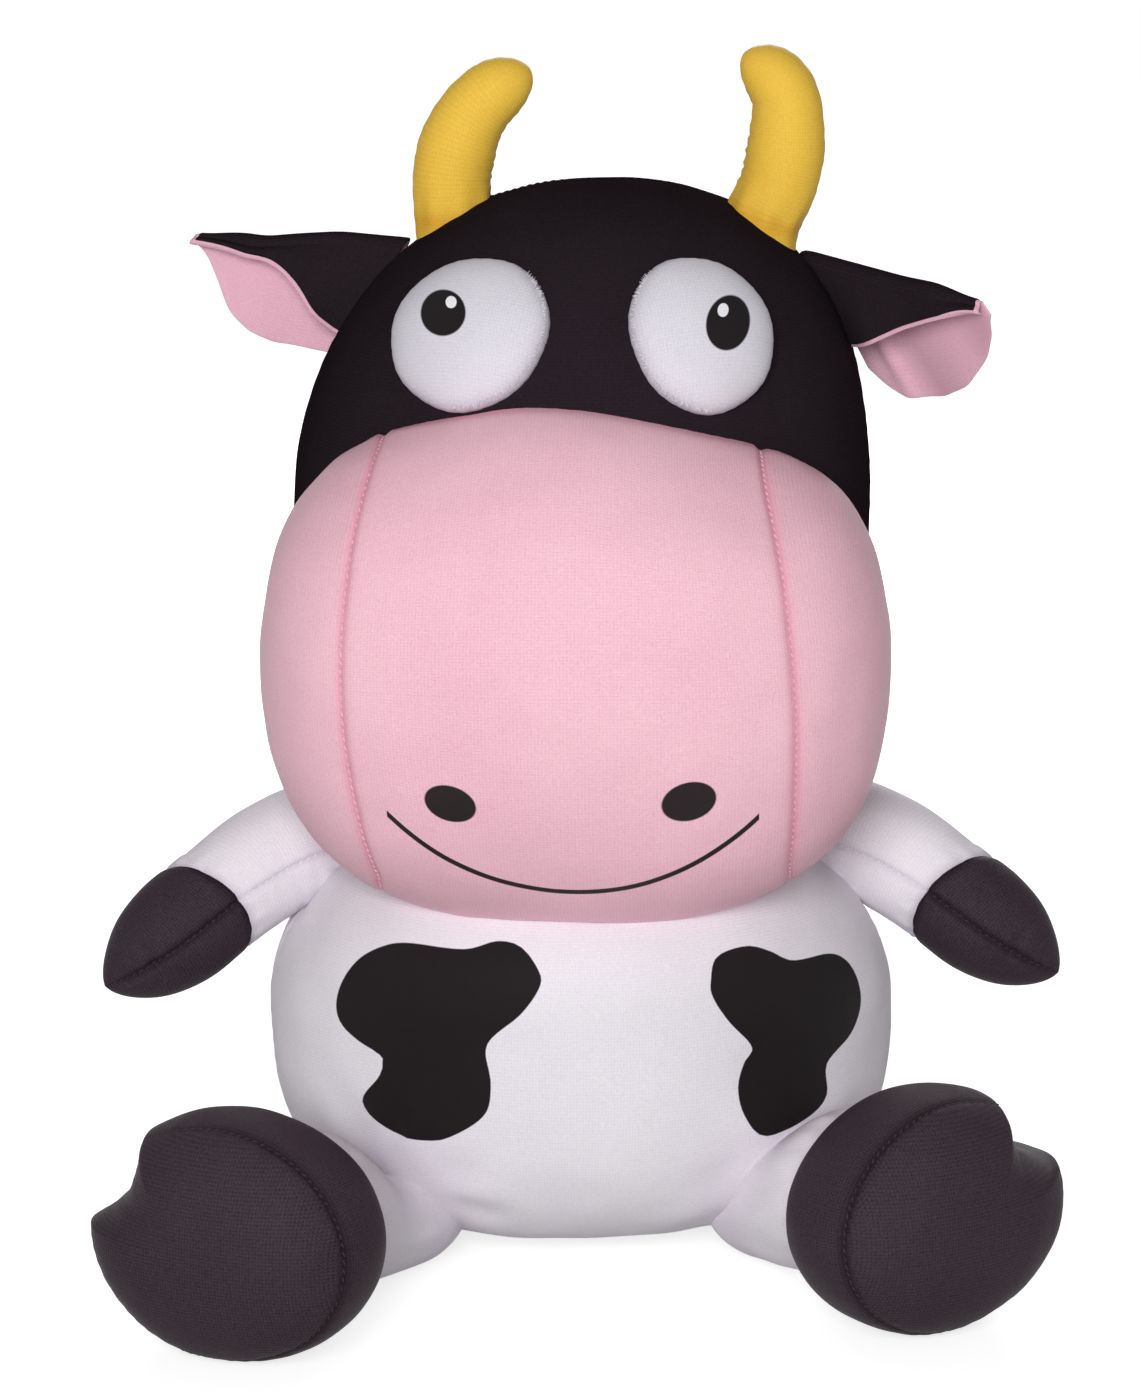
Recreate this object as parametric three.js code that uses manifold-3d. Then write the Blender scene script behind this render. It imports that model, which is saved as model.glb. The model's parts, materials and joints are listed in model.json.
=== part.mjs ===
import * as THREE from 'three';
import { mergeVertices } from 'three/addons/utils/BufferGeometryUtils.js';
import Module from 'manifold-3d';

const wasm = await Module();
wasm.setup();

// A seated cow cushion. Millimetres, +Z up, the body faces -Y and stands on Z = 0.
// Left is the side towards -X. Every stuffed form is a thin knit cover sewn from panels
// round a filling, and the panels meet at their seams with a small gap.

// Cloth, seams and fits
const clothThickness = 0.9;
const seamGap = 0.3;
const fitGap = 0.3;
const floorPress = 0.5;

// Body
const torsoWidth = 208;
const torsoDepth = 188;
const torsoWidestHeight = 78;
const torsoTopHeight = 153;
const torsoBaseBulge = 2.8;
const torsoTopBulge = 1.9;
const torsoRoundHeight = 118;
const torsoSeamForward = 12;

// Head above the muzzle, turned on the neck as it sits in the photograph
const headTurn = -6;
const headTurnLow = -6;
const headTurnHigh = 18;
const headWidth = 192;
const headDepth = 162;
const headTopReach = 114;
const headBaseReach = 105;
const headBulge = 2.25;
const headSink = 23;
const headBack = 2;
const headLean = 9;
const headSeamBack = 6;

// Muzzle
const muzzleWidth = 203;
const muzzleDepth = 124;
const muzzleHeight = 172;
const muzzleDrop = 34;
const muzzleForward = 55;
const muzzleEndBulge = 2.5;
const muzzleBulge = 2.2;
const muzzleSeamOffset = 69;

// Eyes
const eyeLeftWidth = 54;
const eyeRightWidth = 47.5;
const eyeHeight = 51.5;
const eyeRise = 10;
const eyeSink = 2;
const eyeSpread = 37;
const eyeAboveMuzzle = 19;

// Horns. Each is bowed in its own way, along a line of steps inwards and up from its root.
const hornSpread = 51;
const hornBaseRadius = 12.2;
const hornMiddleRadius = 13;
const hornTipRadius = 9.5;
const hornBack = 3;
const hornMiddleShare = 0.5;
const hornBluntShare = 0.8;
const hornStations = [0, 0.2, 0.4, 0.6, hornBluntShare, 0.92];
const hornLeftLine = [[1, -14], [0, 0], [0, 15], [4, 28], [11.5, 38.5], [27, 48.5]];
const hornRightLine = [[1, -14], [-1, 0], [-6, 12], [-8.5, 27], [-7, 41.5], [5.5, 54]];

// Ears
const earLength = 64;
const earFoldRadius = 3.2;
const earLeftRootRise = 80;
const earRightRootRise = 75;
const earBack = 12;
const earRootHeightShare = 0.5;
const earFlapHeight = 40;
const earFrontFlap = [[0, 32], [0.3, 28.5], [0.5, 17.5], [0.7, 9], [0.85, 5], [1, 2]];
const earBackFlap = [[0, 40], [0.34, 39], [0.56, 35], [0.7, 30], [0.82, 23.5], [0.92, 14], [1, 2]];
const earFrontOpening = 24;
const earBackOpening = 6;
const earLeftRise = 5.5;
const earRightRise = -4.5;
const earLeftSweep = 6;
const earRightSweep = -38;
const earSwing = 15;
const earStations = [-0.06, 0.12, 0.35, 0.55, 0.75, 0.9, 1];
const earFoldAngles = [180, 120, 60, 0];
const earRootDrop = 0.28;
const earRootPinch = 0.3;

// Arms. Each follows a curve, given as offsets from the shoulder, that rises and then runs
// down to the hoof.
const armShoulderHeight = 127;
const armShoulderAngle = 97;
const armShoulderSink = 3;
const armBallRadius = 20;
const armRadius = 19;
const armWristRadius = 18.5;
const armDepthShare = 0.93;
const armSleeveLength = 62;
const armRise = new THREE.Vector3(31.4, -17.3, 8.7);
const armFall = new THREE.Vector3(54.6, -27.4, -22.7);
const armTip = new THREE.Vector3(85.5, -37.1, -39.6);
const hoofProfile = [[26, 18.5], [15, 14.5], [7, 9], [2, 4]];
const armLift = 8;

// Legs. The right one lies a little closer in than the left one.
const hipHeight = 28;
const hipSink = 3;
const hipSplay = 45;
const legBallRadius = 27.5;
const legRadius = 27;
const legLeftSplay = 35;
const legRightSplay = 34;
const legLeftLength = 92;
const legRightLength = 75;
const legStations = [0, 0.4, 0.7, 0.9];
const legSwing = 20;

// Feet
const footWidth = 94;
const footHeight = 77.5;
const footThickness = 62;
const footBulge = 2.4;
const footTilt = 2;
const footLeftSplay = 28;
const footRightSplay = 33;
const footSeamForward = 13;
const cleftSpan = 35;
const cleftReach = 41;
const cleftSpread = 23;
const cleftStations = [-1, -0.5, 0, 0.5, 1];
const cleftLeftDepth = 5.2;
const cleftRightDepth = 7.7;
const cleftLeftAngle = 27;
const cleftRightAngle = 38;

// Counts of points round each form and of rings along it. A filling that takes every second
// point of its cover stays inside it.
const detail = {
  torso: [20, 10],
  head: [18, 8],
  muzzle: [16, 10],
  eye: [12, 6],
  horn: 8,
  limb: 10,
  foot: [15, 6],
  ball: [12, 6],
  socket: 28,
  neck: 10,
  swing: 6,
};
const everySecond = (counts) => counts.map((count) => count / 2);
const beyond = 1600;
const limbBallAngles = [30, 60, 88];

// Plain-word helpers for points, turns and curves
const point = (x, y, z) => new THREE.Vector3(x, y, z);
const radians = THREE.MathUtils.degToRad;
const upward = point(0, 0, 1);
const signedPower = (value, power) => Math.sign(value) * Math.abs(value) ** power;
const between = (places, share) => {
  const after = Math.max(1, places.findIndex(([place]) => place >= share));
  const [[low, first], [high, second]] = [places[after - 1], places[after]];
  return THREE.MathUtils.mapLinear(share, low, high, first, second);
};
const swell = (share, bulge) => (1 - Math.min(1, Math.abs(share)) ** bulge) ** (1 / bulge);

// A closed geometry of plain triangles facing out
function closedGeometry(points, faces) {
  const geometry = new THREE.BufferGeometry().setFromPoints(points);
  let volume = 0;
  for (const [a, b, c] of faces) {
    volume += points[a].dot(points[b].clone().cross(points[c]));
  }
  const outward = volume > 0 ? faces : faces.map(([a, b, c]) => [a, c, b]);
  geometry.setIndex(outward.flat());
  return geometry;
}

// Rings of points joined between a start point and an end point
function ringForm(start, rings, end) {
  const count = rings[0].length;
  const points = [start, ...rings.flat(), end];
  const faces = [];
  const lastRing = 1 + (rings.length - 1) * count;
  for (let side = 0; side < count; side += 1) {
    const next = (side + 1) % count;
    faces.push([0, 1 + next, 1 + side]);
    for (let here = 1; here < lastRing; here += count) {
      faces.push([here + side, here + next, here + count + next]);
      faces.push([here + side, here + count + next, here + count + side]);
    }
    faces.push([lastRing + side, lastRing + next, points.length - 1]);
  }
  return closedGeometry(points, faces);
}

// A sheet with thickness between two grids of points of equal size
function thickSheet(outerGrid, innerGrid) {
  const rows = outerGrid.length;
  const columns = outerGrid[0].length;
  const points = [...outerGrid.flat(), ...innerGrid.flat()];
  const inner = rows * columns;
  const at = (row, column) => row * columns + column;
  const faces = [];
  const quad = (a, b, c, d) => faces.push([a, b, c], [a, c, d]);
  for (let row = 0; row + 1 < rows; row += 1) {
    for (let column = 0; column + 1 < columns; column += 1) {
      const corners = [at(row, column), at(row, column + 1), at(row + 1, column + 1), at(row + 1, column)];
      quad(...corners);
      const [a, b, c, d] = corners.map((corner) => corner + inner);
      quad(a, d, c, b);
    }
  }
  const rim = [];
  for (let column = 0; column < columns; column += 1) rim.push(at(0, column));
  for (let row = 1; row < rows; row += 1) rim.push(at(row, columns - 1));
  for (let column = columns - 2; column >= 0; column -= 1) rim.push(at(rows - 1, column));
  for (let row = rows - 2; row > 0; row -= 1) rim.push(at(row, 0));
  rim.forEach((corner, index) => {
    const next = rim[(index + 1) % rim.length];
    quad(next, corner, corner + inner, next + inner);
  });
  return closedGeometry(points, faces);
}

// The same form with its surface moved out, or in where the distance is negative
function grown(geometry, distance) {
  const copy = geometry.clone();
  copy.computeVertexNormals();
  const place = copy.attributes.position;
  const normal = copy.attributes.normal;
  for (let index = 0; index < place.count; index += 1) {
    const moved = new THREE.Vector3().fromBufferAttribute(normal, index).multiplyScalar(distance);
    moved.add(new THREE.Vector3().fromBufferAttribute(place, index));
    place.setXYZ(index, moved.x, moved.y, moved.z);
  }
  return copy;
}

// Solids, and their joins and cuts
function solid(geometry) {
  const mesh = new wasm.Mesh({
    numProp: 3,
    vertProperties: new Float32Array(geometry.attributes.position.array),
    triVerts: new Uint32Array(geometry.index.array),
  });
  return new wasm.Manifold(mesh);
}

function plainSolid(geometry) {
  const bare = geometry.clone();
  bare.deleteAttribute('normal');
  bare.deleteAttribute('uv');
  const welded = mergeVertices(bare, 0.001);
  const corners = welded.index.array;
  const kept = [];
  for (let first = 0; first < corners.length; first += 3) {
    const [a, b, c] = [corners[first], corners[first + 1], corners[first + 2]];
    if (a !== b && b !== c && c !== a) kept.push(a, b, c);
  }
  welded.setIndex(kept);
  return solid(welded);
}

function shapeOf(body) {
  const mesh = body.getMesh();
  const geometry = new THREE.BufferGeometry();
  geometry.setAttribute('position', new THREE.BufferAttribute(mesh.vertProperties, 3));
  geometry.setIndex(new THREE.BufferAttribute(mesh.triVerts, 1));
  geometry.computeVertexNormals();
  return geometry;
}

const cloth = (form) => solid(form).subtract(solid(grown(form, -clothThickness)));
const filling = (form) => solid(grown(form, -clothThickness - fitGap));
const room = (form) => solid(grown(form, fitGap));

// Everything on one side of a plane, from a small distance away
function sideOf(place, direction, away = 0) {
  const block = new THREE.BoxGeometry(beyond, beyond, beyond);
  block.translate(0, 0, beyond / 2 + away);
  block.applyQuaternion(new THREE.Quaternion().setFromUnitVectors(upward, direction.clone().normalize()));
  block.translate(place.x, place.y, place.z);
  return plainSolid(block);
}

function splitAtSeam(body, place, direction) {
  const ahead = body.intersect(sideOf(place, direction, seamGap / 2));
  const behind = body.intersect(sideOf(place, direction.clone().negate(), seamGap / 2));
  return [ahead, behind];
}

// A ball whose facets lie wholly outside the given radius
function ball(place, radius) {
  const [count, steps] = detail.ball;
  const spread = 1 / Math.cos(Math.PI / count) / Math.cos(Math.PI / steps / 2);
  const sphere = new THREE.SphereGeometry(radius * spread, count, steps);
  sphere.translate(place.x, place.y, place.z);
  return plainSolid(sphere);
}

function turned(body, place, axis, degrees) {
  const turn = new THREE.Matrix4().makeTranslation(place.x, place.y, place.z);
  turn.multiply(new THREE.Matrix4().makeRotationAxis(axis, radians(degrees)));
  turn.multiply(new THREE.Matrix4().makeTranslation(-place.x, -place.y, -place.z));
  return body.transform(turn.elements);
}

// Leaves room in a limb for what stands still while the limb turns from low to high
function clearedThrough(limb, obstacle, place, axis, low, high) {
  let cleared = limb;
  for (let step = 0; step <= detail.swing; step += 1) {
    const angle = low + (high - low) * step / detail.swing;
    cleared = cleared.subtract(turned(obstacle, place, axis, -angle));
  }
  return cleared;
}

function mirrored(geometry) {
  const copy = geometry.clone().scale(-1, 1, 1);
  const corners = Array.from(copy.index.array);
  for (let first = 0; first < corners.length; first += 3) {
    [corners[first + 1], corners[first + 2]] = [corners[first + 2], corners[first + 1]];
  }
  copy.setIndex(corners);
  copy.computeVertexNormals();
  return copy;
}

// Body: a pear with a soft flat base, round where the head turns on it
function torsoRadius(height) {
  const below = height < torsoWidestHeight;
  const reach = below ? torsoWidestHeight + floorPress : torsoTopHeight - torsoWidestHeight;
  const share = (height - torsoWidestHeight) / reach;
  return torsoWidth / 2 * swell(share, below ? torsoBaseBulge : torsoTopBulge);
}

function torsoDepthShare(height) {
  const share = THREE.MathUtils.smoothstep(height, torsoWidestHeight, torsoRoundHeight);
  return THREE.MathUtils.lerp(torsoDepth / torsoWidth, 1, share);
}

function torsoHeightAt(angle) {
  const below = angle < Math.PI / 2;
  const reach = below ? torsoWidestHeight + floorPress : torsoTopHeight - torsoWidestHeight;
  const bulge = below ? torsoBaseBulge : torsoTopBulge;
  return torsoWidestHeight - reach * signedPower(Math.cos(angle), 2 / bulge);
}

function torsoForm(count, steps) {
  const rings = [];
  for (let step = 1; step < steps; step += 1) {
    const height = torsoHeightAt(Math.PI * step / steps);
    const radius = torsoRadius(height);
    const depth = radius * torsoDepthShare(height);
    const ring = [];
    for (let side = 0; side < count; side += 1) {
      const angle = 2 * Math.PI * side / count;
      ring.push(point(radius * Math.cos(angle), depth * Math.sin(angle), height));
    }
    rings.push(ring);
  }
  return ringForm(point(0, 0, -floorPress), rings, point(0, 0, torsoTopHeight));
}

// The room that the head leaves round the top of the body, the same at every turn
function neckSocket() {
  const spread = 1 / Math.cos(Math.PI / detail.socket);
  const profile = [new THREE.Vector2(0, torsoWidestHeight)];
  for (let step = 0; step < detail.neck; step += 1) {
    const angle = Math.PI / 2 * (1 + step / detail.neck);
    const height = torsoHeightAt(angle);
    profile.push(new THREE.Vector2((torsoRadius(height) + 2 * fitGap) * spread, height + 2 * fitGap));
  }
  profile.push(new THREE.Vector2(0, torsoTopHeight + 2 * fitGap));
  const socket = new THREE.LatheGeometry(profile, detail.socket);
  socket.rotateX(Math.PI / 2);
  return plainSolid(socket);
}

// Head: an upright dome that leans a little to the right above its middle
const headCentreHeight = torsoTopHeight + headBaseReach - headSink;

function headSection(height) {
  const rise = height - headCentreHeight;
  const share = rise / (rise > 0 ? headTopReach : headBaseReach);
  return {
    share: swell(share, headBulge),
    lean: rise > 0 ? headLean * Math.min(1, share) ** 1.5 : 0,
  };
}

function headForm(count, steps) {
  const rings = [];
  for (let step = 1; step < steps; step += 1) {
    const cosine = Math.cos(Math.PI * step / steps);
    const reach = cosine < 0 ? headTopReach : headBaseReach;
    const height = headCentreHeight - reach * signedPower(cosine, 2 / headBulge);
    const { share, lean } = headSection(height);
    const ring = [];
    for (let side = 0; side < count; side += 1) {
      const angle = 2 * Math.PI * side / count;
      const across = headWidth / 2 * share * Math.cos(angle);
      const back = headDepth / 2 * share * Math.sin(angle);
      ring.push(point(lean + across, headBack + back, height));
    }
    rings.push(ring);
  }
  const start = point(0, headBack, headCentreHeight - headBaseReach);
  return ringForm(start, rings, point(headLean, headBack, headCentreHeight + headTopReach));
}

// A point on the front of the head, across from its leaning middle
function headFront(across, height) {
  const { share, lean } = headSection(height);
  const depth = Math.sqrt(share ** 2 - (across / (headWidth / 2)) ** 2);
  return point(lean + across, headBack - headDepth / 2 * depth, height);
}

function headTopAt(across, back) {
  const flat = Math.hypot(across / (headWidth / 2), back / (headDepth / 2));
  const height = headCentreHeight + headTopReach * swell(flat, headBulge);
  return point(headSection(height).lean + across, headBack + back, height);
}

// Muzzle: a wide bolster across the front of the head
const muzzleCentre = point(0, -muzzleForward, headCentreHeight - muzzleDrop);

function muzzleForm(count, steps) {
  const rings = [];
  for (let step = 1; step < steps; step += 1) {
    const across = -signedPower(Math.cos(Math.PI * step / steps), 2 / muzzleEndBulge);
    const share = swell(across, muzzleEndBulge);
    const ring = [];
    for (let side = 0; side < count; side += 1) {
      const angle = 2 * Math.PI * side / count;
      const forward = signedPower(Math.cos(angle), 2 / muzzleBulge) * muzzleDepth / 2;
      const rise = signedPower(Math.sin(angle), 2 / muzzleBulge) * muzzleHeight / 2;
      const offset = point(across * muzzleWidth / 2, -forward * share, rise * share);
      ring.push(offset.add(muzzleCentre));
    }
    rings.push(ring);
  }
  const end = point(muzzleWidth / 2, 0, 0);
  return ringForm(muzzleCentre.clone().sub(end), rings, muzzleCentre.clone().add(end));
}

// Eye: a domed disc that lies on the brow
function eyeForm(side, width, count, steps) {
  const height = muzzleCentre.z + muzzleHeight / 2 + eyeAboveMuzzle;
  const place = headFront(side * eyeSpread, height);
  const step = 1;
  const along = headFront(side * eyeSpread + step, height).sub(headFront(side * eyeSpread - step, height));
  const rise = headFront(side * eyeSpread, height + step).sub(headFront(side * eyeSpread, height - step));
  const outward = along.clone().cross(rise).normalize();
  const level = upward.clone().cross(outward).normalize();
  const top = outward.clone().cross(level);
  const centre = place.addScaledVector(outward, -eyeSink);
  const depth = eyeRise + eyeSink;
  const rings = [];
  for (let ring = 1; ring < steps; ring += 1) {
    const tilt = Math.PI * ring / steps;
    const points = [];
    for (let index = 0; index < count; index += 1) {
      const angle = 2 * Math.PI * index / count;
      const spot = centre.clone().addScaledVector(outward, -depth * Math.cos(tilt));
      spot.addScaledVector(level, width / 2 * Math.sin(tilt) * Math.cos(angle));
      spot.addScaledVector(top, eyeHeight / 2 * Math.sin(tilt) * Math.sin(angle));
      points.push(spot);
    }
    rings.push(points);
  }
  const ends = [-depth, depth].map((reach) => centre.clone().addScaledVector(outward, reach));
  return ringForm(ends[0], rings, ends[1]);
}

// Horn: a bowed, blunt finger whose tip hooks inwards
function hornForm(side, line) {
  const count = detail.horn;
  const base = headTopAt(side * hornSpread, hornBack);
  const curve = new THREE.CatmullRomCurve3(line.map(([inwards, up]) => point(-side * inwards, 0, up)));
  const radiusAt = (share) => {
    const lower = THREE.MathUtils.lerp(hornBaseRadius, hornMiddleRadius, share / hornMiddleShare);
    const beyondMiddle = (share - hornMiddleShare) / (1 - hornMiddleShare);
    const upper = THREE.MathUtils.lerp(hornMiddleRadius, hornTipRadius, beyondMiddle);
    const tapered = share < hornMiddleShare ? lower : upper;
    return tapered * swell(Math.max(0, share - hornBluntShare) / (1 - hornBluntShare), 2);
  };
  const rings = hornStations.map((share) => {
    const middle = curve.getPointAt(share);
    const tangent = curve.getTangentAt(share);
    const outward = point(0, 1, 0).cross(tangent).normalize();
    const ring = [];
    for (let index = 0; index < count; index += 1) {
      const angle = 2 * Math.PI * (index + 0.5) / count;
      const spot = middle.clone().addScaledVector(outward, radiusAt(share) * Math.cos(angle));
      ring.push(spot.add(point(0, radiusAt(share) * Math.sin(angle), 0)));
    }
    return ring;
  });
  const form = ringForm(curve.getPointAt(0), rings, curve.getPointAt(1));
  return form.translate(base.x, base.y, base.z);
}

// Ear: a leaf folded lengthwise along its top, with a short front flap over a longer back flap.
// It is sewn to the side of the head along a line that follows the head's outline down.
function earRoot(side) {
  const earRootHeight = headCentreHeight + (side < 0 ? earLeftRootRise : earRightRootRise);
  const middle = headSection(earRootHeight);
  const foot = headSection(earRootHeight - earFlapHeight * earRootHeightShare);
  const slope = (foot.share - middle.share) * headWidth / 2 / (earFlapHeight * earRootHeightShare);
  const across = middle.lean + side * headWidth / 2 * middle.share;
  return {
    root: point(across, headBack + earBack, earRootHeight),
    down: point(side * slope, 0, -1).normalize(),
  };
}

function earLayer(side, rise, sweep, inner, outer) {
  const { root, down } = earRoot(side);
  const along = point(side * Math.cos(radians(sweep)), Math.sin(radians(sweep)), Math.tan(radians(rise)));
  along.normalize();
  const behind = along.clone().cross(down).multiplyScalar(side).normalize();
  const layerAt = (radius) => earStations.map((station) => {
    const share = Math.max(0, station);
    const start = root.clone().addScaledVector(along, earLength * station);
    start.addScaledVector(down, -earFlapHeight * earRootDrop * (1 - share / 2));
    const pinch = THREE.MathUtils.lerp(earRootPinch, 1, THREE.MathUtils.smoothstep(share, 0, 1 / 3));
    const front = between(earFrontFlap, share);
    const back = between(earBackFlap, share);
    const frontOut = Math.tan(radians(earFrontOpening * pinch));
    const backOut = Math.tan(radians(earBackOpening * pinch));
    const spots = [[-radius - front * frontOut, front]];
    for (const angle of earFoldAngles) {
      spots.push([radius * Math.cos(radians(angle)), -radius * Math.sin(radians(angle))]);
    }
    spots.push([radius + back * backOut, back]);
    return spots.map(([backward, drop]) => {
      const spot = start.clone().addScaledVector(down, drop);
      return spot.addScaledVector(behind, backward);
    });
  });
  return thickSheet(layerAt(outer), layerAt(inner));
}

// A limb: a ball at its joint that runs out into a tube along a curve
function limbForm(curve, ballRadius, sections, depthShare) {
  const count = detail.limb;
  const length = curve.getLength();
  const placeRing = (middle, tangent, tall, deep) => {
    const across = tangent.clone().cross(upward).normalize();
    const rise = across.clone().cross(tangent);
    const ring = [];
    for (let index = 0; index < count; index += 1) {
      const angle = 2 * Math.PI * (index + 0.5) / count;
      const spot = middle.clone().addScaledVector(across, deep * Math.cos(angle));
      ring.push(spot.addScaledVector(rise, tall * Math.sin(angle)));
    }
    return ring;
  };
  const joint = curve.getPointAt(0);
  const heading = curve.getTangentAt(0);
  const necked = 180 - THREE.MathUtils.radToDeg(Math.asin(sections[0][1] / ballRadius));
  const rings = [...limbBallAngles, necked].map((angle) => {
    const middle = joint.clone().addScaledVector(heading, -ballRadius * Math.cos(radians(angle)));
    const radius = ballRadius * Math.sin(radians(angle));
    return placeRing(middle, heading, radius, radius);
  });
  for (const [distance, radius] of sections.slice(1)) {
    const share = distance / length;
    rings.push(placeRing(curve.getPointAt(share), curve.getTangentAt(share), radius, radius * depthShare));
  }
  const start = joint.clone().addScaledVector(heading, -ballRadius);
  return ringForm(start, rings, curve.getPointAt(1));
}

// Where the arm and the leg join the body
function onTorso(angleFromFront, height) {
  const angle = radians(angleFromFront);
  const radius = torsoRadius(height);
  const depth = radius * torsoDepthShare(height);
  const reach = 1 / Math.hypot(Math.sin(angle) / radius, Math.cos(angle) / depth);
  return point(reach * Math.sin(angle), -reach * Math.cos(angle), height);
}

const shoulder = onTorso(armShoulderAngle, armShoulderHeight);
shoulder.x -= armShoulderSink;
const hip = onTorso(hipSplay, hipHeight);
hip.multiply(point(1 - hipSink / hip.length(), 1 - hipSink / hip.length(), 1));

// Foot: a thick hoof with a bite out of its rim, its sole facing forwards, pressed on the floor
function footForm(splay, cleftAngle, cleftDepth, count, steps) {
  const yaw = radians(splay);
  const pitch = radians(footTilt);
  const facing = point(Math.sin(yaw) * Math.cos(pitch), -Math.cos(yaw) * Math.cos(pitch), Math.sin(pitch));
  const outward = upward.clone().cross(facing).normalize();
  const rise = facing.clone().cross(outward);
  const biteRadius = ((cleftSpan / 2) ** 2 + cleftDepth ** 2) / (2 * cleftDepth);
  const biteCentre = cleftReach + biteRadius - cleftDepth;
  const turns = cleftStations.map((share) => share * cleftSpread);
  const rest = count - turns.length + 1;
  for (let step = 1; step < rest; step += 1) {
    turns.push(cleftSpread + (360 - 2 * cleftSpread) * step / rest);
  }
  const rings = [];
  for (let step = 1; step < steps; step += 1) {
    const depth = -signedPower(Math.cos(Math.PI * step / steps), 2 / footBulge);
    const share = swell(depth, footBulge);
    const ring = turns.map((turn) => {
      const angle = radians(cleftAngle + turn);
      const across = footWidth / 2 * Math.cos(angle);
      const up = footHeight / 2 * Math.sin(angle);
      const aside = Math.atan2(up, across) - radians(cleftAngle);
      const inside = biteRadius ** 2 - (biteCentre * Math.sin(aside)) ** 2;
      const facesBite = Math.cos(aside) > 0 && inside > 0;
      const bitten = facesBite ? biteCentre * Math.cos(aside) - Math.sqrt(inside) : footWidth;
      const kept = Math.min(1, bitten / Math.hypot(across, up)) * share;
      const spot = facing.clone().multiplyScalar(depth * footThickness / 2);
      return spot.addScaledVector(outward, across * kept).addScaledVector(rise, up * kept);
    });
    rings.push(ring);
  }
  const ends = [-1, 1].map((way) => facing.clone().multiplyScalar(way * footThickness / 2));
  const form = ringForm(ends[0], rings, ends[1]);
  form.computeBoundingBox();
  const lift = -floorPress - form.boundingBox.min.z;
  return { form, facing, lift };
}

// Materials
const finish = (color, roughness) => new THREE.MeshStandardMaterial({ color, roughness, metalness: 0 });
const whiteKnit = finish(0xe2e0e8, 0.55);
const blackKnit = finish(0x26202a, 0.5);
const hoofKnit = finish(0x2e2830, 0.42);
const pinkKnit = finish(0xecb4c6, 0.55);
const liningKnit = finish(0xd7a0b9, 0.6);
const yellowKnit = finish(0xe8be3a, 0.6);
const beadFill = finish(0xf4f3ee, 0.8);

function named(name, geometry, material) {
  const mesh = new THREE.Mesh(geometry, material.clone());
  mesh.name = name;
  return mesh;
}

const cow = new THREE.Group();
const floorSide = sideOf(point(0, 0, 0), upward);

// Body pieces
const torso = torsoForm(...detail.torso);
const torsoRoom = room(torso);
const shoulders = [shoulder, shoulder.clone().multiply(point(-1, 1, 1))];
const hips = [hip, hip.clone().multiply(point(-1, 1, 1))];
let torsoCloth = cloth(torso).intersect(floorSide);
let torsoFill = filling(torsoForm(...everySecond(detail.torso))).intersect(
  sideOf(point(0, 0, clothThickness + fitGap), upward),
);
for (const place of shoulders) {
  torsoCloth = torsoCloth.subtract(ball(place, armBallRadius + fitGap));
  torsoFill = torsoFill.subtract(ball(place, armBallRadius + fitGap));
}
for (const place of hips) {
  torsoCloth = torsoCloth.subtract(ball(place, legBallRadius + fitGap));
  torsoFill = torsoFill.subtract(ball(place, legBallRadius + fitGap));
}
const torsoSeam = point(0, -torsoSeamForward, 0);
const [torsoFront, torsoBack] = splitAtSeam(torsoCloth, torsoSeam, point(0, -1, 0));
cow.add(named('torso_front_panel', shapeOf(torsoFront), whiteKnit));
cow.add(named('torso_back_panel', shapeOf(torsoBack), whiteKnit));
cow.add(named('torso_fill', shapeOf(torsoFill), beadFill));

// Head pieces, made facing forwards and then turned on the neck
const headGroup = new THREE.Group();
headGroup.rotation.z = radians(headTurn);
cow.add(headGroup);
const head = headForm(...detail.head);
const muzzle = muzzleForm(...detail.muzzle);
const headRoom = room(head);
const muzzleRoom = room(muzzle);
const socket = neckSocket();

const headCloth = cloth(head).subtract(muzzleRoom).subtract(socket);
const headSeam = point(0, headBack + headSeamBack, 0);
const [headFrontPanel, headBackPanel] = splitAtSeam(headCloth, headSeam, point(0, -1, 0));
headGroup.add(named('head_front_panel', shapeOf(headFrontPanel), blackKnit));
headGroup.add(named('head_back_panel', shapeOf(headBackPanel), blackKnit));

const muzzleCloth = cloth(muzzle).subtract(headRoom).subtract(socket);
const seamRight = point(muzzleSeamOffset, 0, 0);
const seamLeft = point(-muzzleSeamOffset, 0, 0);
const [muzzleRight, muzzleRest] = splitAtSeam(muzzleCloth, seamRight, point(1, 0, 0));
const [muzzleLeft, muzzleMiddle] = splitAtSeam(muzzleRest, seamLeft, point(-1, 0, 0));
headGroup.add(named('muzzle_centre_panel', shapeOf(muzzleMiddle), pinkKnit));
headGroup.add(named('muzzle_left_panel', shapeOf(muzzleLeft), pinkKnit));
headGroup.add(named('muzzle_right_panel', shapeOf(muzzleRight), pinkKnit));
const headFilling = filling(headForm(...everySecond(detail.head))).add(
  filling(muzzleForm(...everySecond(detail.muzzle))),
);
headGroup.add(named('head_fill', shapeOf(headFilling.subtract(socket)), beadFill));

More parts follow.
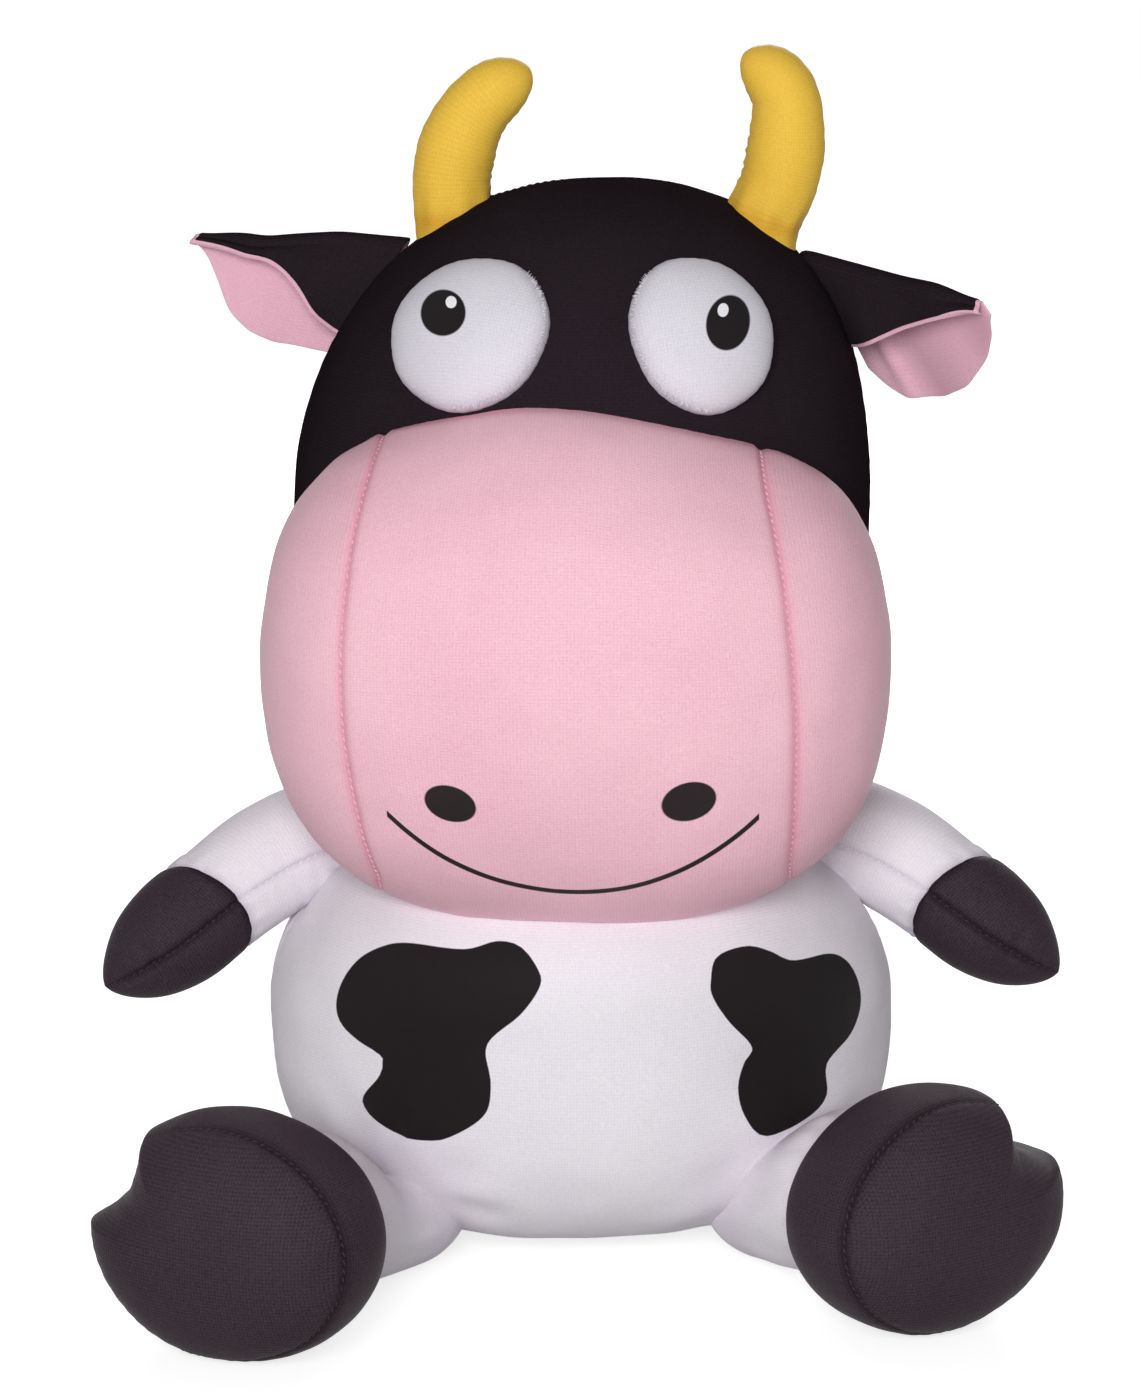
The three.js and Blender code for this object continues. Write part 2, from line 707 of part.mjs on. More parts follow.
// Eyes, horns and ears
const sides = [
  {
    word: 'left', side: -1, width: eyeLeftWidth, line: hornLeftLine,
    rise: earLeftRise, sweep: earLeftSweep,
  },
  {
    word: 'right', side: 1, width: eyeRightWidth, line: hornRightLine,
    rise: earRightRise, sweep: earRightSweep,
  },
];
for (const { word, side, width, line, rise, sweep } of sides) {
  const eye = eyeForm(side, width, ...detail.eye);
  const eyeCover = cloth(eye).subtract(headRoom).subtract(muzzleRoom);
  const eyeFill = filling(eyeForm(side, width, ...everySecond(detail.eye)));
  const eyePad = eyeFill.subtract(headRoom).subtract(muzzleRoom);
  headGroup.add(named(`eye_${word}_cover`, shapeOf(eyeCover), whiteKnit));
  headGroup.add(named(`eye_${word}_pad`, shapeOf(eyePad), beadFill));

  const horn = hornForm(side, line);
  const hornPlace = point(0, headBack + hornBack, 0);
  const hornCloth = cloth(horn).subtract(headRoom);
  const [hornFront, hornBackPanel] = splitAtSeam(hornCloth, hornPlace, point(0, -1, 0));
  headGroup.add(named(`horn_${word}_front_panel`, shapeOf(hornFront), yellowKnit));
  headGroup.add(named(`horn_${word}_back_panel`, shapeOf(hornBackPanel), yellowKnit));
  headGroup.add(named(`horn_${word}_fill`, shapeOf(filling(horn).subtract(headRoom)), beadFill));

  const outerRadius = earFoldRadius + clothThickness;
  const liningRadius = earFoldRadius - fitGap;
  const earOuter = solid(earLayer(side, rise, sweep, earFoldRadius, outerRadius));
  const earLining = solid(earLayer(side, rise, sweep, liningRadius - clothThickness, liningRadius));
  const { root, down } = earRoot(side);
  const clearEar = (body) => clearedThrough(body, headRoom, root, down, -earSwing, earSwing);
  headGroup.add(named(`ear_${word}_outer`, shapeOf(clearEar(earOuter)), blackKnit));
  headGroup.add(named(`ear_${word}_lining`, shapeOf(clearEar(earLining)), liningKnit));
}

// Arms
const [armOut, armDown, armPoint] = [armRise, armFall, armTip].map((offset) => shoulder.clone().add(offset));
const armCurve = new THREE.CubicBezierCurve3(shoulder, armOut, armDown, armPoint);
const armEnd = armCurve.getLength();
const armSections = [
  [0, armRadius],
  [armSleeveLength / 3, armRadius],
  [armSleeveLength * 2 / 3, armRadius],
  [armSleeveLength, armWristRadius],
  ...hoofProfile.map(([fromTip, radius]) => [armEnd - fromTip, radius]),
];
const armShape = limbForm(armCurve, armBallRadius, armSections, armDepthShare);
const forwardAxis = point(0, -1, 0);
const armObstacle = torsoRoom.subtract(ball(shoulder, armBallRadius));
const clearArm = (body) => clearedThrough(body, armObstacle, shoulder, forwardAxis, 0, armLift);
const wrist = armCurve.getPointAt(armSleeveLength / armEnd);
const wristHeading = armCurve.getTangentAt(armSleeveLength / armEnd);
const [hoofCloth, sleeveCloth] = splitAtSeam(clearArm(cloth(armShape)), wrist, wristHeading);
const hoofFacing = forwardAxis.clone().cross(wristHeading).normalize();
const [hoofUpper, hoofLower] = splitAtSeam(hoofCloth, wrist, hoofFacing);
const armFill = clearArm(filling(armShape));

for (const { word, side } of sides) {
  const armPieces = [
    [`arm_${word}_sleeve`, sleeveCloth, whiteKnit],
    [`hoof_${word}_upper_panel`, hoofUpper, hoofKnit],
    [`hoof_${word}_lower_panel`, hoofLower, hoofKnit],
    [`arm_${word}_fill`, armFill, beadFill],
  ];
  for (const [name, body, material] of armPieces) {
    const shape = shapeOf(body);
    cow.add(named(name, side > 0 ? shape : mirrored(shape), material));
  }
}

// Legs and feet, made on the right side and mirrored for the left one
const legObstacle = torsoRoom.subtract(ball(hip, legBallRadius));
const legs = [
  {
    word: 'left', side: -1, splay: legLeftSplay, length: legLeftLength,
    foot: footForm(footLeftSplay, cleftLeftAngle, cleftLeftDepth, ...detail.foot),
  },
  {
    word: 'right', side: 1, splay: legRightSplay, length: legRightLength,
    foot: footForm(footRightSplay, cleftRightAngle, cleftRightDepth, ...detail.foot),
  },
];
const liftAxes = {};
for (const { word, side, splay, length, foot } of legs) {
  const footMiddle = point(
    hip.x + length * Math.sin(radians(splay)),
    hip.y - length * Math.cos(radians(splay)),
    foot.lift,
  );
  const footShape = foot.form.clone().translate(footMiddle.x, footMiddle.y, footMiddle.z);
  const legCurve = new THREE.LineCurve3(hip, footMiddle);
  const legSections = legStations.map((share) => [length * share, legRadius]);
  const legShape = limbForm(legCurve, legBallRadius, legSections, 1);
  const liftAxis = legCurve.getTangentAt(0).cross(upward).normalize();
  const clearLeg = (body) => clearedThrough(body, legObstacle, hip, liftAxis, -legSwing, legSwing);
  const legSleeve = clearLeg(cloth(legShape).subtract(room(footShape)).intersect(floorSide));
  const footCloth = clearLeg(cloth(footShape).subtract(room(legShape)).intersect(floorSide));
  const soleSeam = footMiddle.clone().addScaledVector(foot.facing, footSeamForward);
  const [footSole, footUpper] = splitAtSeam(footCloth, soleSeam, foot.facing);
  const legFilling = filling(legShape).add(filling(footShape));
  const legFill = clearLeg(legFilling.intersect(sideOf(point(0, 0, clothThickness + fitGap), upward)));
  const legPieces = [
    [`leg_${word}_sleeve`, legSleeve, whiteKnit],
    [`foot_${word}_upper`, footUpper, blackKnit],
    [`foot_${word}_sole`, footSole, hoofKnit],
    [`leg_${word}_fill`, legFill, beadFill],
  ];
  for (const [name, body, material] of legPieces) {
    const shape = shapeOf(body);
    cow.add(named(name, side > 0 ? shape : mirrored(shape), material));
  }
  liftAxes[word] = liftAxis;
}

// The joints: a place on each axis, its direction, and its range in degrees from this rest
cow.userData.joints = { neck_turn: [point(0, 0, torsoTopHeight), upward, headTurnLow, headTurnHigh] };
for (const { word, side } of sides) {
  const across = point(side, 1, 1);
  const around = point(1, side, side);
  const { root, down } = earRoot(side);
  const onHead = (vector) => vector.clone().applyAxisAngle(upward, radians(headTurn));
  Object.assign(cow.userData.joints, {
    [`ear_${word}_flap`]: [onHead(root), onHead(down), -earSwing, earSwing],
    [`shoulder_${word}_lift`]: [
      shoulder.clone().multiply(across),
      forwardAxis.clone().multiply(around),
      0,
      armLift,
    ],
    [`hip_${word}_lift`]: [
      hip.clone().multiply(across),
      liftAxes[word].clone().multiply(around),
      -legSwing,
      legSwing,
    ],
  });
}

// The origin is under the middle of the cushion's whole box
const box = new THREE.Box3().setFromObject(cow);
const middle = box.getCenter(new THREE.Vector3());
cow.position.set(-middle.x, -middle.y, 0);

export default cow;
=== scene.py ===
import bisect
import json

import bmesh
import bpy
from math import acos, atan2, copysign, cos, exp, hypot, pi, radians, remainder, sin, sqrt, tan
from mathutils import Matrix, Vector, noise
from mathutils.bvhtree import BVHTree


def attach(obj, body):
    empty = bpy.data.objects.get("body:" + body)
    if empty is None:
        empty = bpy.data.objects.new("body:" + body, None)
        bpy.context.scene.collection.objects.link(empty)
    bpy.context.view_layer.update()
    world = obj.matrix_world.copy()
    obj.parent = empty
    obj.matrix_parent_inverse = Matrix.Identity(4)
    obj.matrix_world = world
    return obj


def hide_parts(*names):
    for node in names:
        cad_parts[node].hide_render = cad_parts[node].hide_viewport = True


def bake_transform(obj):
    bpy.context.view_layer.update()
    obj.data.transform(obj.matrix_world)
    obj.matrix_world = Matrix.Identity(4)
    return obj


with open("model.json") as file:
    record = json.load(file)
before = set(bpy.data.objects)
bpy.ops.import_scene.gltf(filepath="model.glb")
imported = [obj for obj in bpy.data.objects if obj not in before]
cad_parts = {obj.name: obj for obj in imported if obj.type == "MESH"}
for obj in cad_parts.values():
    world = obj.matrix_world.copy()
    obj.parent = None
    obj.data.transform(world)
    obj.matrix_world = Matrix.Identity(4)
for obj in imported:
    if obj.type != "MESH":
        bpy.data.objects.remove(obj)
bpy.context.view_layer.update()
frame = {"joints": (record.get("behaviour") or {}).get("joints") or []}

# the upright axis of the body stands behind the origin, and everything below is measured from it
neck = next(joint for joint in frame["joints"] if joint["name"] == "neck_turn")["pos_m"]
bodyAxis = Vector((neck[0], neck[1], 0))
onBody = Matrix.Translation(bodyAxis)
headTurn = -6  # degrees, as the head sits on the neck
onHead = onBody @ Matrix.Rotation(radians(headTurn), 4, "Z")
bothSides = (("left", -1), ("right", 1))


# helpers for shapes
def bent(value, power):
    return copysign(abs(value) ** power, value)


def smooth(value):
    value = min(1, max(0, value))
    return value * value * (3 - 2 * value)


def mix(a, b, share):
    return a + (b - a) * share


def swell(share, bulge):
    return max(0, 1 - min(1, abs(share)) ** bulge) ** (1 / bulge)


# 1 at no distance, and fading out over the width
def near(distance, width, power=2):
    return exp(-((distance / width) ** power))


# the value at a place in a table of places and values, averaged over a reach on both sides
def averaged(table, place, reach=0.05):
    def at(place):
        for (a, low), (b, high) in zip(table, table[1:]):
            if place <= b:
                return mix(low, high, max(0, (place - a) / (b - a)))
        return table[-1][1]
    return sum(at(place + step * reach) for step in (-1, -0.5, 0, 0.5, 1)) / 5


# a parabola through three places
def arched(table, place):
    (a, p), (b, q), (c, r) = table
    return (
        p * (place - b) * (place - c) / ((a - b) * (a - c)) + q * (place - a) * (place - c) / ((b - a) * (b - c))
        + r * (place - a) * (place - b) / ((c - a) * (c - b))
    )


def groove(distance, depth=0.0010, width=0.0013):
    return depth * near(distance, width)


# slow lumps of a bead filling under the cloth
def lumpy(point, amount, seed=0):
    place = point * 26 + Vector((seed * 7.3, seed * 3.1, seed * 5.7))
    return amount * (noise.noise(place) + 0.4 * noise.noise(place * 3.1))


# little gathers that a sewn seam draws into the cloth beside it
def gathers(away, run, depth=0.00008, pitch=0.0062, reach=0.0045):
    wave = sin(2 * pi * run / pitch + 1.7 * sin(run * 190))
    return depth * wave * near(away - 0.0022, reach)


# folds that fan out from where a limb is sewn on
def fannedFolds(point, centre, seed, count=8, start=0.030, reach=0.009, depth=0.0008):
    away = point - centre
    angle = atan2(away.z, hypot(away.x, away.y) * copysign(1, away.x * centre.x))
    wave = sin(angle * count + seed + 1.3 * sin(angle * 3 + seed))
    return depth * wave * near(away.length - start, reach)


def evenly(low, high, count):
    return [low + (high - low) * step / (count - 1) for step in range(count)]


def tiltsOf(look):
    return evenly(0, pi, look["rows"] + 2)[1:-1]


def turnsOf(count):
    return evenly(0, 2 * pi, count + 1)[:-1]


# how far along a round form's girth the nearer of its two side seams is
def sideSeam(turn, radius):
    return min(abs(sin(turn / 2)), abs(cos(turn / 2))) * radius * 2


# rows drawn close together on both sides of a seam, so that the fabric can turn in there
besideSeam = (0.0005, 0.0010, 0.0016, 0.0025, 0.0038)


def gathered(values, seams, unit):
    kept = list(values)
    for seam in seams:
        kept = [value for value in kept if abs(value - seam) > besideSeam[-1] / unit * 1.25]
        kept += [seam] + [seam + side * step / unit for side in (-1, 1) for step in besideSeam]
    return sorted(kept)


def seamedTurns(count, unit):
    turns = gathered(turnsOf(count - 1), (pi,), unit)
    turns = [turn for turn in turns if besideSeam[-1] < min(turn, 2 * pi - turn) * unit * 0.8]
    beside = [step / unit for step in besideSeam]
    turns = sorted([0] + turns + beside + [2 * pi - step for step in beside])
    return inFours(turns)


def inFours(values):
    values = list(values)
    while len(values) % 4:
        gaps = [(values[i + 1] - values[i], i) for i in range(len(values) - 1)]
        widest = max(gaps)[1]
        values.insert(widest + 1, (values[widest] + values[widest + 1]) / 2)
    return values


def lengthsOf(spots):
    lengths = [0]
    for a, b in zip(spots, spots[1:]):
        lengths.append(lengths[-1] + (b - a).length)
    return lengths


def finished(bm, name):
    for face in bm.faces:
        face.smooth = True
    mesh = bpy.data.meshes.new(name)
    bm.to_mesh(mesh)
    bm.free()
    piece = bpy.data.objects.new(name, mesh)
    bpy.context.collection.objects.link(piece)
    return piece


# a round closed form: a sphere whose rows and columns are moved to where place(along, around) says
def roundForm(name, along, around, place, where, sculpt, ends=(0, pi)):
    rows, columns = len(along), len(around)
    bm = bmesh.new()
    bmesh.ops.create_uvsphere(bm, u_segments=columns, v_segments=rows + 1, radius=1)
    seat = {}
    for vert in bm.verts:
        row = round(acos(max(-1, min(1, -vert.co.z))) / pi * (rows + 1))
        column = round(atan2(vert.co.y, vert.co.x) / (2 * pi) * columns) % columns
        seat[vert.index] = (row, column)
        vert.co = place(along[row - 1], around[column]) if 0 < row <= rows else place(ends[row > 0], None)
    # the knit's own map, in metres of cloth
    grid = {seat[vert.index]: vert.co.copy() for vert in bm.verts}
    girths = [[grid[row, column] for column in range(columns)] for row in range(1, rows + 1)]
    widest = max(girths, key=lambda girth: lengthsOf(girth)[-1])
    lengthAround = lengthsOf(widest + widest[:1])
    lengthAlong = lengthsOf([girth[0] for girth in girths])
    lengthAlong = [0] + lengthAlong + lengthAlong[-1:]
    layer = bm.loops.layers.uv.new("knit")
    for face in bm.faces:
        spots = [seat[loop.vert.index] for loop in face.loops]
        onRing = [column for row, column in spots if 0 < row <= rows]
        wraps = max(onRing) - min(onRing) > columns / 2
        u = {column: lengthAround[columns if wraps and column == 0 else column] for column in onRing}
        middle = sum(u[column] for column in onRing) / len(onRing)
        for loop, (row, column) in zip(face.loops, spots):
            loop[layer].uv = (u[column] if 0 < row <= rows else middle, lengthAlong[row])
    bmesh.ops.recalc_face_normals(bm, faces=bm.faces)
    bm.normal_update()
    # painted shade: how much each point is darkened in its seams and folds and where parts meet
    creaseShade = bm.verts.layers.float.new("creaseShade")
    for vert in bm.verts:
        row, column = seat[vert.index]
        if 0 < row <= rows:
            offset, vert[creaseShade] = sculpt(vert.co, along[row - 1], around[column])
            vert.co += vert.normal * offset
    bm.transform(where)
    for vert in bm.verts:
        vert.co.z = max(vert.co.z, 0.0002)  # it rests on the floor
    bmesh.ops.recalc_face_normals(bm, faces=bm.faces)
    return finished(bm, name)


# the knit of a piece cut flat runs straight across it
def flatWeave(piece, right, up, chosen=lambda face: True):
    layer = piece.data.uv_layers["knit"].data
    for face in filter(chosen, piece.data.polygons):
        for corner in face.loop_indices:
            spot = piece.data.vertices[piece.data.loops[corner].vertex_index].co
            layer[corner].uv = (spot.dot(right), spot.dot(up))


# its material, and the body that it rides on; given two bodies, it is left where it is
def worn(piece, material, slot, body):
    piece.data.materials.append(material)
    if isinstance(body, str):
        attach(piece, body)
    else:
        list(body)
        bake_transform(piece)


def dressed(piece, material, slot, body, nodes):
    worn(piece, material, slot, body)
    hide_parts(*nodes)
    return piece, slot, body


print("frame loaded")

# camera, at the photograph's viewing angle
cameraLook = {"lens": 108, "turn": -3, "distance": 1.400, "tilt": 12, "aim": (-0.0033, 0, 0.176)}


def setCamera():
    look = cameraLook
    turn, tilt = Matrix.Rotation(radians(look["turn"]), 4, "Z"), radians(look["tilt"])
    away = Vector((0, -cos(tilt), sin(tilt))) * look["distance"]
    camera = bpy.data.objects.new("camera", bpy.data.cameras.new("camera"))
    camera.data.lens = look["lens"]
    camera.data.clip_start, camera.data.clip_end = 0.05, 20
    camera.location = onBody @ turn @ (Vector(look["aim"]) + away)
    camera.rotation_euler = (turn @ -away).to_track_quat("-Z", "Y").to_euler()
    bpy.context.collection.objects.link(camera)
    bpy.context.scene.camera = camera


setCamera()
print("camera set")


# fabrics
# each input takes a value, or a link where it is given another node's socket
def feed(tree, node, given):
    for key, value in given.items():
        if isinstance(value, bpy.types.NodeSocket):
            tree.links.new(value, node.inputs[key])
        else:
            node.inputs[key].default_value = value


def nodeAt(tree, kind, given={}, **settings):
    node = tree.nodes.new(kind if kind.startswith("Node") else "ShaderNode" + kind)
    for key, value in settings.items():
        setattr(node, key, value)
    feed(tree, node, given)
    return node


def calc(tree, operation, *values):
    return nodeAt(tree, "Math", dict(enumerate(values)), operation=operation).outputs[0]


def noiseOf(tree, scale, detail):
    place = nodeAt(tree, "TexCoord").outputs["Object"]
    return nodeAt(tree, "TexNoise", {"Scale": scale, "Detail": detail, "Vector": place}).outputs["Fac"]


def rising(tree, value, start, end):
    return nodeAt(tree, "MapRange", {"From Min": start, "From Max": end, "Value": value}).outputs[0]


def blended(tree, share, under, over, kind="MIX"):
    return nodeAt(tree, "Mix", {"Factor": share, 6: under, 7: over}, data_type="RGBA", blend_type=kind).outputs[2]


def bumped(tree, height, strength, reach):
    return nodeAt(tree, "Bump", {"Height": height, "Strength": strength, "Distance": reach}).outputs[0]


def newGroup(name, inputs, outputs):
    tree = bpy.data.node_groups.new(name, "ShaderNodeTree")
    for way, sockets in (("INPUT", inputs), ("OUTPUT", outputs)):
        for label, kind in sockets.items():
            tree.interface.new_socket(label, in_out=way, socket_type="NodeSocket" + kind)
    return tree, nodeAt(tree, "NodeGroupInput").outputs, nodeAt(tree, "NodeGroupOutput")


def newMaterial(name):
    material = bpy.data.materials.new(name)
    material.use_nodes = True
    return material, material.node_tree, material.node_tree.nodes["Principled BSDF"]


# fine stretch knit: ribs along the cloth, stitches across it, and a slow unevenness of the dye
def knitGroup():
    tree, given, result = newGroup(
        "stretchKnit",
        {"Wale": "Float", "Course": "Float", "Color": "Color", "Shade": "Color", "Rough": "Float", "CreaseShade": "Float"},
        {"Color": "Color", "Roughness": "Float", "Height": "Float"},
    )
    cloth = nodeAt(tree, "SeparateXYZ", {0: nodeAt(tree, "UVMap", uv_map="knit").outputs[0]}).outputs
    lean = calc(tree, "PINGPONG", calc(tree, "DIVIDE", cloth[0], given["Wale"]), 0.5)
    rib = calc(tree, "SINE", calc(tree, "MULTIPLY", lean, pi))
    rise = calc(tree, "ADD", calc(tree, "DIVIDE", cloth[1], given["Course"]), calc(tree, "MULTIPLY", lean, 0.9))
    stitch = calc(tree, "SINE", calc(tree, "MULTIPLY", rise, 2 * pi))
    height = calc(tree, "MULTIPLY_ADD", stitch, 0.30, calc(tree, "MULTIPLY", rib, 0.45))
    slow, fuzz = noiseOf(tree, 18, 3), noiseOf(tree, 1400, 2)
    depth = calc(tree, "MULTIPLY_ADD", fuzz, 0.8, calc(tree, "MULTIPLY", height, 0.4))
    uneven = calc(tree, "MULTIPLY_ADD", slow, 0.35, calc(tree, "MULTIPLY", depth, 0.65))
    dyed = blended(tree, rising(tree, uneven, 0.15, 0.75), given["Shade"], given["Color"])
    # painted shade: darker towards the shade colour in the seams and folds and where parts meet, where less light
    # falls
    folded = nodeAt(tree, "Attribute", attribute_name="creaseShade").outputs["Fac"]
    deep = blended(tree, calc(tree, "MULTIPLY", folded, given["CreaseShade"]), dyed, given["Shade"], "MULTIPLY")
    rough = calc(tree, "SUBTRACT", calc(tree, "MULTIPLY_ADD", slow, 0.16, given["Rough"]), 0.08)
    feed(tree, result, {"Color": deep, "Roughness": rough, "Height": depth})
    return tree


# one oval of print: its middle, its half sizes and its tilt, on a flat map
def ovalGroup():
    tree, given, result = newGroup(
        "ovalPrint", {"Place": "Vector", "Middle": "Vector", "Half": "Vector", "Tilt": "Float"}, {"Mask": "Float"},
    )
    shifted = nodeAt(tree, "VectorMath", {0: given["Place"], 1: given["Middle"]}, operation="SUBTRACT").outputs[0]
    turned = nodeAt(tree, "VectorRotate", {"Vector": shifted, "Angle": given["Tilt"]}, rotation_type="Y_AXIS")
    sized = nodeAt(tree, "VectorMath", {0: turned.outputs[0], 1: given["Half"]}, operation="DIVIDE").outputs[0]
    far = nodeAt(tree, "VectorMath", {0: sized}, operation="LENGTH").outputs["Value"]
    feed(tree, result, {"Mask": rising(tree, far, 1.03, 0.97)})
    return tree


stretchKnit = knitGroup()
ovalPrint = ovalGroup()


def linear(red, green, blue):
    return tuple(
        (value / 255 / 12.92 if value <= 10 else ((value / 255 + 0.055) / 1.055) ** 2.4)
        for value in (red, green, blue)
    ) + (1,)


# the color and the shade between its stitches, then roughness, gloss, sheen and bump
fabrics = {
    "white": ((244, 239, 245), (219, 213, 222), 0.62, 0.06, 0.02, 0.30),
    "eye": ((228, 224, 232), (202, 197, 208), 0.62, 0.06, 0.02, 0.40),
    "black": ((46, 38, 44), (24, 18, 22), 0.60, 0.0, 0.0, 0.50),
    "hoof": ((74, 62, 71), (28, 21, 26), 0.50, 0.03, 0.0, 0.50),
    "pink": ((247, 203, 215), (223, 163, 182), 0.50, 0.15, 0.02, 0.40),
    "lining": ((238, 190, 207), (214, 160, 179), 0.70, 0.08, 0.03, 0.28),
    "yellow": ((245, 204, 84), (222, 172, 50), 0.62, 0.12, 0.02, 0.16),
}
fabricLook = {
    # CreaseShade sets how dark the painted shade in seams and folds is
    "knit": {"Wale": 0.0010, "Course": 0.0011, "CreaseShade": 0.55}, "bumpReach": 0.0004, "sheenRough": 0.45,
    "inkCovers": 0.993,  # the knit shows through the ink a little
}
printInk, glintInk = linear(24, 19, 20), linear(240, 240, 244)


def fabric(name, marks=None):
    color, shade, rough, gloss, sheen, bump = fabrics[name]
    material, tree, shader = newMaterial(name + ("Printed" if marks else "") + "Knit")
    dye = {"Color": linear(*color), "Shade": linear(*shade), "Rough": rough, **fabricLook["knit"]}
    knit = nodeAt(tree, "Group", dye, node_tree=stretchKnit).outputs
    shown = knit["Color"]
    for mask, ink in marks(tree) if marks else ():
        shown = blended(tree, calc(tree, "MULTIPLY", mask, fabricLook["inkCovers"]), shown, ink)
    feed(tree, shader, {
        "Base Color": shown, "Roughness": knit["Roughness"], "Specular IOR Level": gloss, "Sheen Weight": sheen,
        "Sheen Roughness": fabricLook["sheenRough"],
        "Normal": bumped(tree, knit["Height"], bump, fabricLook["bumpReach"]),
    })
    return material


# where a point of the head is before the head is turned, looking at it from straight ahead
def headPlace(tree):
    back = onHead.inverted()
    place = nodeAt(tree, "TexCoord").outputs["Object"]
    given = {"Location": back.translation, "Rotation": back.to_euler(), "Vector": place}
    turned = nodeAt(tree, "Mapping", given).outputs[0]
    return nodeAt(tree, "VectorMath", {0: turned, 1: (1, 0, 1)}, operation="MULTIPLY").outputs[0]


def oval(tree, place, middle, size, tilt):
    (x, z), (wide, tall) = middle, size
    given = {"Place": place, "Middle": (x, 0, z), "Half": (wide / 2, 1, tall / 2), "Tilt": radians(tilt)}
    return nodeAt(tree, "Group", given, node_tree=ovalPrint).outputs["Mask"]


# each oval's middle and size, across and up, and its tilt in degrees
facePrints = {
    "nostrils": [((-0.0345, 0.1664), (0.0165, 0.0118), -18), ((0.0391, 0.1679), (0.0172, 0.0128), 18)],
    "mouth": {"middle": (0.003, 0.1356), "curve": 7.1, "fourth": 220, "half": 0.0577, "width": 0.0017},
    # pupil and glint
    "left": [((-0.0398, 0.3125), (0.0148, 0.0134), 12), ((-0.0373, 0.3158), (0.0036, 0.0035), 0)],
    "right": [((0.0493, 0.3100), (0.0136, 0.0162), -4), ((0.0477, 0.3139), (0.0034, 0.0040), 0)],
}


def muzzleMarks(tree):
    place = headPlace(tree)
    mouth = facePrints["mouth"]
    split = nodeAt(tree, "SeparateXYZ", {0: place}).outputs
    across = calc(tree, "SUBTRACT", split[0], mouth["middle"][0])
    square = calc(tree, "MULTIPLY", across, across)
    slope = calc(tree, "MULTIPLY", across, 2 * mouth["curve"])
    curve = calc(tree, "MULTIPLY_ADD", square, mouth["curve"], mouth["middle"][1])
    curve = calc(tree, "MULTIPLY_ADD", calc(tree, "MULTIPLY", square, square), mouth["fourth"], curve)
    steep = calc(tree, "SQRT", calc(tree, "MULTIPLY_ADD", slope, slope, 1))
    away = calc(tree, "DIVIDE", calc(tree, "ABSOLUTE", calc(tree, "SUBTRACT", split[2], curve)), steep)
    line = rising(tree, away, mouth["width"] / 2 + 0.0001, mouth["width"] / 2 - 0.0001)
    within = calc(tree, "LESS_THAN", calc(tree, "ABSOLUTE", across), mouth["half"])
    marks = [oval(tree, place, *nostril) for nostril in facePrints["nostrils"]]
    return [(mask, printInk) for mask in marks + [calc(tree, "MULTIPLY", line, within)]]


def spotMarks(tree):
    inside = nodeAt(tree, "Attribute", attribute_name="spot").outputs["Fac"]
    return [(rising(tree, inside, -0.00012, 0.00012), printInk)]


whiteKnit, blackKnit, hoofKnit = fabric("white"), fabric("black"), fabric("hoof")
pinkKnit, liningKnit, yellowKnit = fabric("pink", muzzleMarks), fabric("lining"), fabric("yellow")
spottedKnit = fabric("white", spotMarks)


# thread has no map of its own, so its twist is laid in the object's space
def threadOf(name, twist=900, bumpy=0.5):
    color, shade = fabrics[name][:2]
    material, tree, shader = newMaterial(name + "Thread")
    fibres = noiseOf(tree, twist, 2)
    feed(tree, shader, {
        "Base Color": blended(tree, fibres, linear(*shade), linear(*color)), "Roughness": 0.7,
        "Specular IOR Level": 0.2, "Normal": bumped(tree, fibres, bumpy, 0.0002),
    })
    return material


threads = {name: threadOf(name) for name in ("white", "black", "hoof", "pink", "yellow")}
print("fabrics made")

# sewing thread, a slanted stitch every few millimetres
stitchLook = {"pitch": 0.0027, "long": 0.0020, "thick": 0.00030, "slant": 22, "lift": 0.00005}


def surfaceOf(piece):
    mesh = piece.data
    return BVHTree.FromPolygons([vert.co for vert in mesh.vertices], [face.vertices for face in mesh.polygons])


# points along a seam, laid on the cloth of a finished piece and sewn evenly, which the thread then moves with
def sewn(name, paths, kind, where, cloth, slot, body):
    look, surface = stitchLook, surfaceOf(cloth)
    bm = bmesh.new()
    made = 0
    for path in paths:
        path = [where @ point for point in path]
        reached, target = 0.0, look["pitch"] / 2
        for a, b in zip(path, path[1:]):
            step = (b - a).length
            while step > 0 and target <= reached + step:
                spot, out = surface.find_nearest(a.lerp(b, (target - reached) / step))[:2]
                ahead = (b - a).normalized()
                made += 1
                slant = radians(look["slant"] + 5 * sin(made * 2.4))
                run = ahead * cos(slant) + out.cross(ahead).normalized() * sin(slant)
                run.normalize()
                turn = Matrix((run, out.cross(run).normalized(), out)).transposed().to_4x4()
                half = look["long"] / 2 * (1 + 0.07 * sin(made * 1.7))
                size = Matrix.Diagonal((half, look["thick"], look["thick"], 1))
                seat = Matrix.Translation(spot + out * look["lift"])
                bmesh.ops.create_uvsphere(bm, u_segments=6, v_segments=5, radius=1, matrix=seat @ turn @ size)
                target += look["pitch"]
            reached += step
    worn(finished(bm, name), threads[kind], slot, body)


